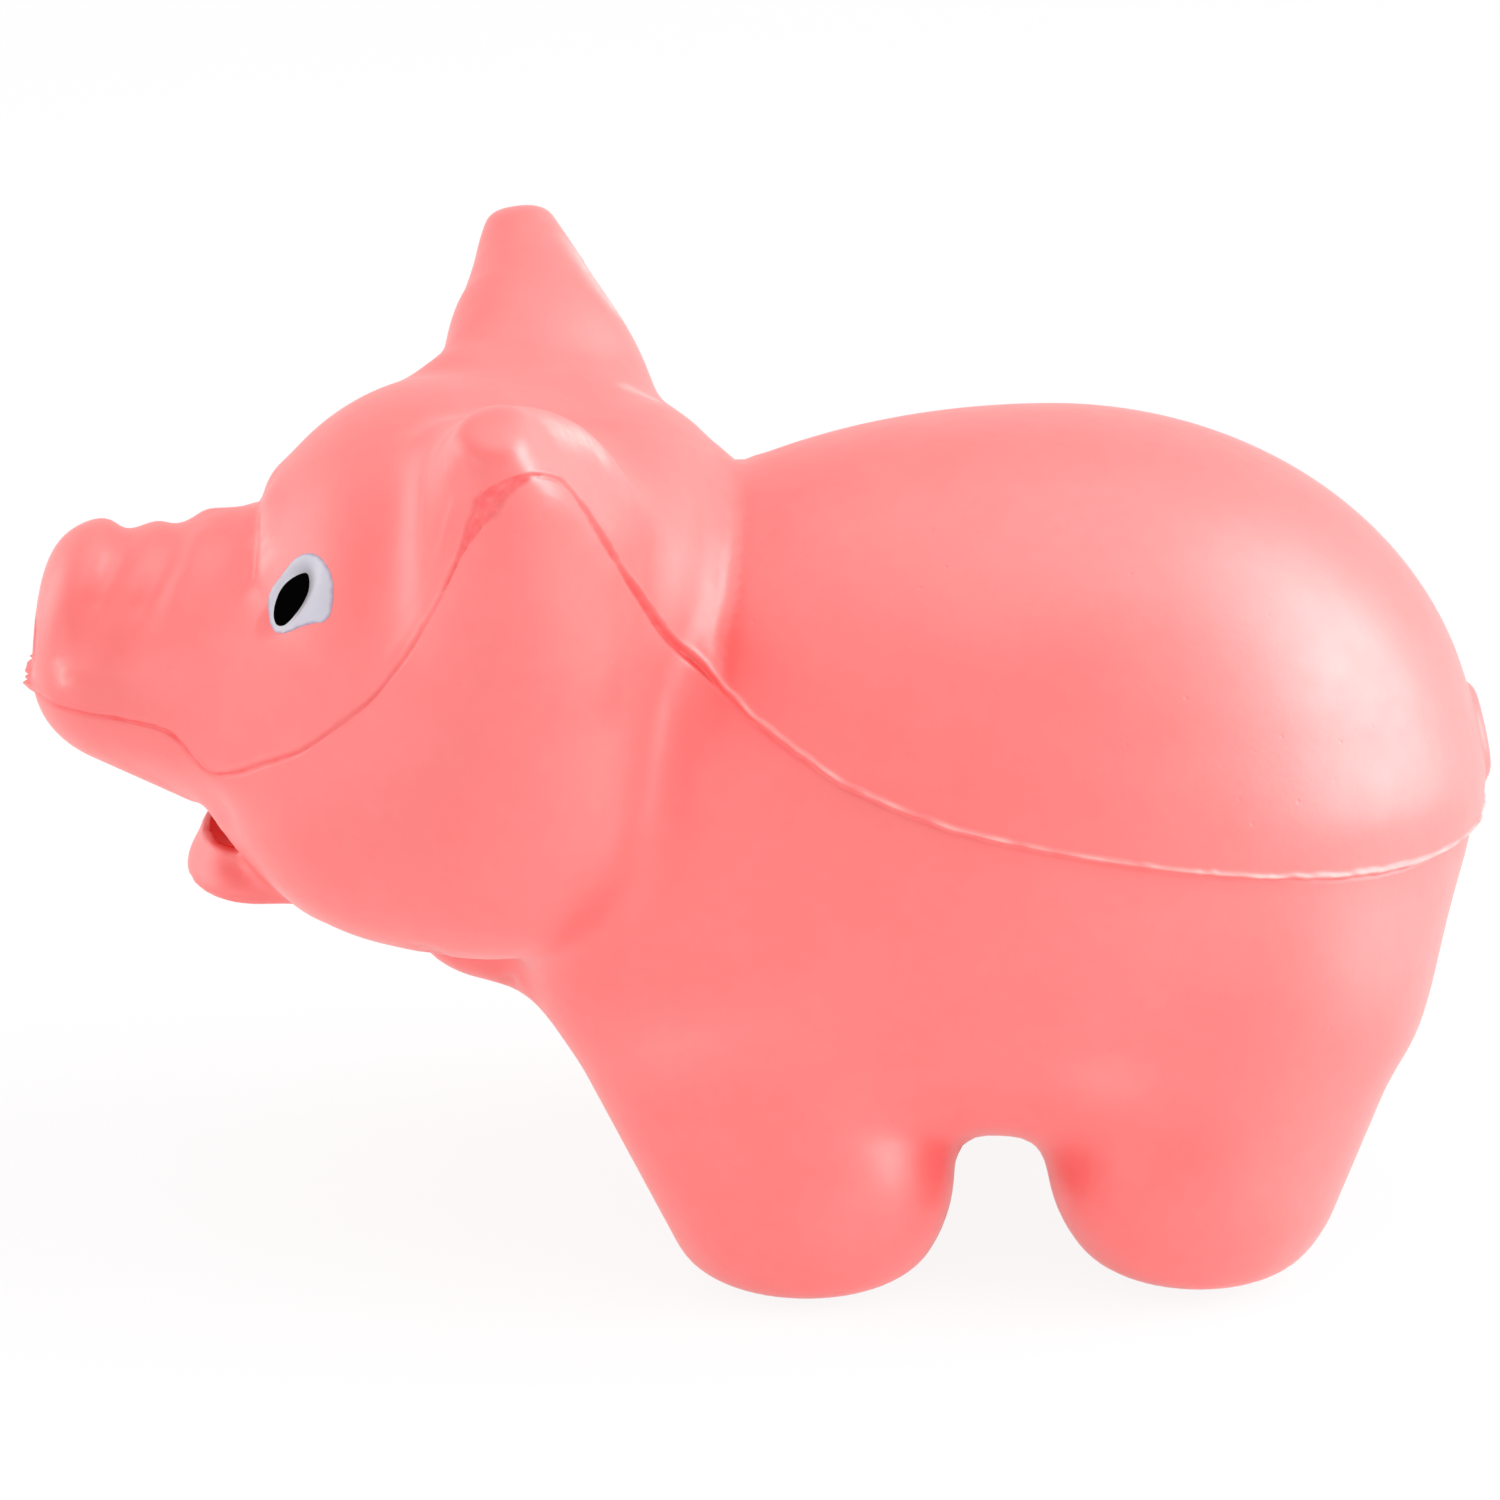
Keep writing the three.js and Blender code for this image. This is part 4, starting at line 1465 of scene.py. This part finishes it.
@dataclass
class Studio:
    """Pale floor, soft light and the camera of the photograph."""

    target: Point = (-0.7, 0.0, 32.4)
    distance: float = 430.0
    elevation: float = 20.0
    lens: float = 150.36
    sensor: float = 36.0
    clip: tuple[float, float] = (10.0, 20000.0)
    floor_size: float = 6000.0
    floor_colour: Colour = (0.9, 0.9, 0.9, 1)
    floor_white: float = 0.9
    world_level: float = 0.8
    lamps: tuple[Lamp, ...] = (
        Lamp("rear_key", (400, 20, 380), 1.2, 320),
        Lamp("rear_side", (500, -50, 120), 2.7, 440),
        Lamp("snout_side", (-450, 150, 140), 0.55, 340),
        Lamp("legs_front", (-430, -330, 60), 0.35, 300),
        Lamp("top", (0, 0, 520), 0.75, 500),
    )

    def floor(self) -> None:
        """A wide pale floor that keeps the object's soft shadow."""
        bpy.ops.object.select_all(action="DESELECT")
        bpy.ops.mesh.primitive_plane_add(size=self.floor_size * MM, location=(0, 0, 0))
        obj = bpy.context.object
        obj.name = "floor"
        shader = Shader(bpy.data.materials.new("pale_floor"))
        matte = shader.node("ShaderNodeBsdfDiffuse", {}, {"Color": self.floor_colour})
        glow = shader.node("ShaderNodeEmission", {}, {"Color": (1, 1, 1, 1), "Strength": 1.0})
        share = shader.backdrop() * self.floor_white
        mixed = shader.node("ShaderNodeMixShader", {}, {0: share, 1: matte, 2: glow})
        obj.data.materials.append(shader.end("Material", mixed))

    def world(self) -> None:
        """Even white light from all round, seen as white by the camera and in reflections."""
        world = bpy.data.worlds.new("studio")
        bpy.context.scene.world = world
        shader = Shader(world)
        light = shader.node("ShaderNodeBackground", {}, {"Strength": self.world_level})
        seen = shader.node("ShaderNodeBackground", {}, {"Strength": 1.0})
        mixed = shader.node("ShaderNodeMixShader", {}, {0: shader.backdrop(), 1: light, 2: seen})
        shader.end("World", mixed)

    def lamp(self, lamp: Lamp) -> None:
        """A soft square lamp aimed at the pig."""
        data = bpy.data.lights.new(lamp.name, "AREA")
        data.size = lamp.size * MM
        data.energy = lamp.energy
        obj = bpy.data.objects.new(lamp.name, data)
        bpy.context.collection.objects.link(obj)
        obj.location = Vector(lamp.at) * MM
        way = Vector(self.target) * MM - obj.location
        obj.rotation_euler = way.to_track_quat("-Z", "Y").to_euler()

    def camera(self) -> None:
        """The camera, square to the pig's left side and looking a little down."""
        data = bpy.data.cameras.new("camera")
        data.lens = self.lens
        data.sensor_width = self.sensor
        data.clip_start, data.clip_end = (reach * MM for reach in self.clip)
        obj = bpy.data.objects.new("camera", data)
        bpy.context.collection.objects.link(obj)
        rise = math.radians(self.elevation)
        back = Vector((0, -math.cos(rise), math.sin(rise)))
        obj.location = (Vector(self.target) + self.distance * back) * MM
        obj.rotation_euler = (math.radians(90 - self.elevation), 0, 0)
        bpy.context.scene.camera = obj

    def build(self) -> None:
        """Sets the stage."""
        self.floor()
        self.world()
        for lamp in self.lamps:
            self.lamp(lamp)
        self.camera()
        bpy.context.scene.view_settings.view_transform = "Standard"


STROKES: tuple[Stroke, ...] = (
    Stroke("neck fold", (
        (-1.4, -1, 52.8), (-1.6, -7.1, 51.3), (-2.0, -11.6, 48.6), (-2.5, -14.5, 45.4), (-2.5, -16.3, 42.5),
    ), -0.45, 0.8),
    Stroke("brow fold", (
        (-33.9, 0, 50.0), (-33.9, -5.0, 49.2), (-33.9, -7.6, 47.6), (-34.2, -9.2, 45.6),
    ), -0.35, 0.6, taper=2.5),
    Stroke("brow", (
        (-32.4, 0, 51.4), (-32.3, -5.0, 50.6), (-32.3, -8.0, 48.8), (-32.6, -10.2, 46.0),
    ), 0.3, 1.2, taper=2.5),
    Stroke("ear ridge", (
        (-18.6, -27.0, 59.6), (-20.0, -24.3, 56.4), (-21.3, -22.0, 53.2), (-22.9, -20.4, 49.0),
        (-25.2, -19.6, 44.4),
    ), 0.25, 0.6),
    Stroke("ear dent", ((-17.4, -20.0, 60.6), (-17.0, -22.0, 61.4)), -0.3, 0.8, taper=0.8),
    Stroke("front snout ridge", (
        (-41.4, -3.5, 47.6), (-42.3, -5.1, 46.4), (-43.3, -6.3, 44.9),
    ), 0.06, 0.9, taper=1.5),
    Stroke("back snout ridge", (
        (-37.3, -1.0, 49.1), (-38.2, -5.6, 47.3), (-39.9, -7.9, 44.3),
    ), 0.2, 0.9, taper=2.0),
    Stroke("jowl notch", (
        (-22.4, -18.0, 24.9), (-22.0, -16.1, 23.9), (-21.6, -14.0, 23.2),
    ), -0.45, 0.6, taper=0.8),
    Stroke("throat notch", (
        (-17.6, -10.0, 18.9), (-17.2, -7.8, 18.4), (-16.8, -5.5, 18.0),
    ), -0.45, 0.6, taper=0.8),
)

# Painted highlights: whitish marks in the skin's colour where light catches the ear's crescent, the brow,
# the snout tip, the nape and the legs.
PAINTED_HIGHLIGHTS: tuple[Stroke, ...] = (
    Stroke("ear crescent", (
        (-14.5, -23.0, 61.9), (-12.8, -20.6, 61.4), (-11.0, -17.6, 60.2), (-9.6, -17.0, 58.0),
    ), 0.6, 1.1, taper=1.5),
    Stroke("brow highlight", (
        (-33.8, -3.5, 50.2), (-33.3, -6.4, 49.6), (-32.5, -9.8, 48.5),
    ), 0.45, 1.1, taper=1.5),
    Stroke("snout tip highlight", ((-47.3, -7.0, 41.6), (-46.6, -7.4, 39.4)), 0.6, 0.7, taper=0.6),
    Stroke("nape highlight", ((-9.8, -8.4, 56.1), (-6.4, -6.5, 55.2)), 0.55, 0.9, (Side.RIGHT,), taper=1.0),
    Stroke("front leg, painted light", ((-6.6, -18.6, 22.5), (-4.4, -20.2, 14.5)), 0.2, 6.0, taper=6.0),
    Stroke("rear leg, painted light", ((23.6, -20.6, 20.0), (22.4, -21.0, 13.5)), 0.26, 3.2, taper=6.0),
)


def main() -> None:
    """Builds the pig's visible pieces and its studio."""
    logging.basicConfig(level=logging.INFO, format="%(message)s")
    Studio().build()
    form = PigForm()
    seam = Seam(form, PartingSheet())
    log.info("parting line: %.1f mm, %d points", seam.length, len(seam.points))
    log.info("drawn on the skin: %s", ", ".join(mark.name for mark in STROKES + PAINTED_HIGHLIGHTS))
    hollow = EyeHollow()
    Skin(form, seam, STROKES, PAINTED_HIGHLIGHTS, hollow).build(FoamFinish().material())
    EyePaint(form, hollow).build(EyeWhiteFinish().material(), PupilFinish().material())
    MouthPaint(form).build(MouthFinish().material())


if __name__ == "__main__":
    main()
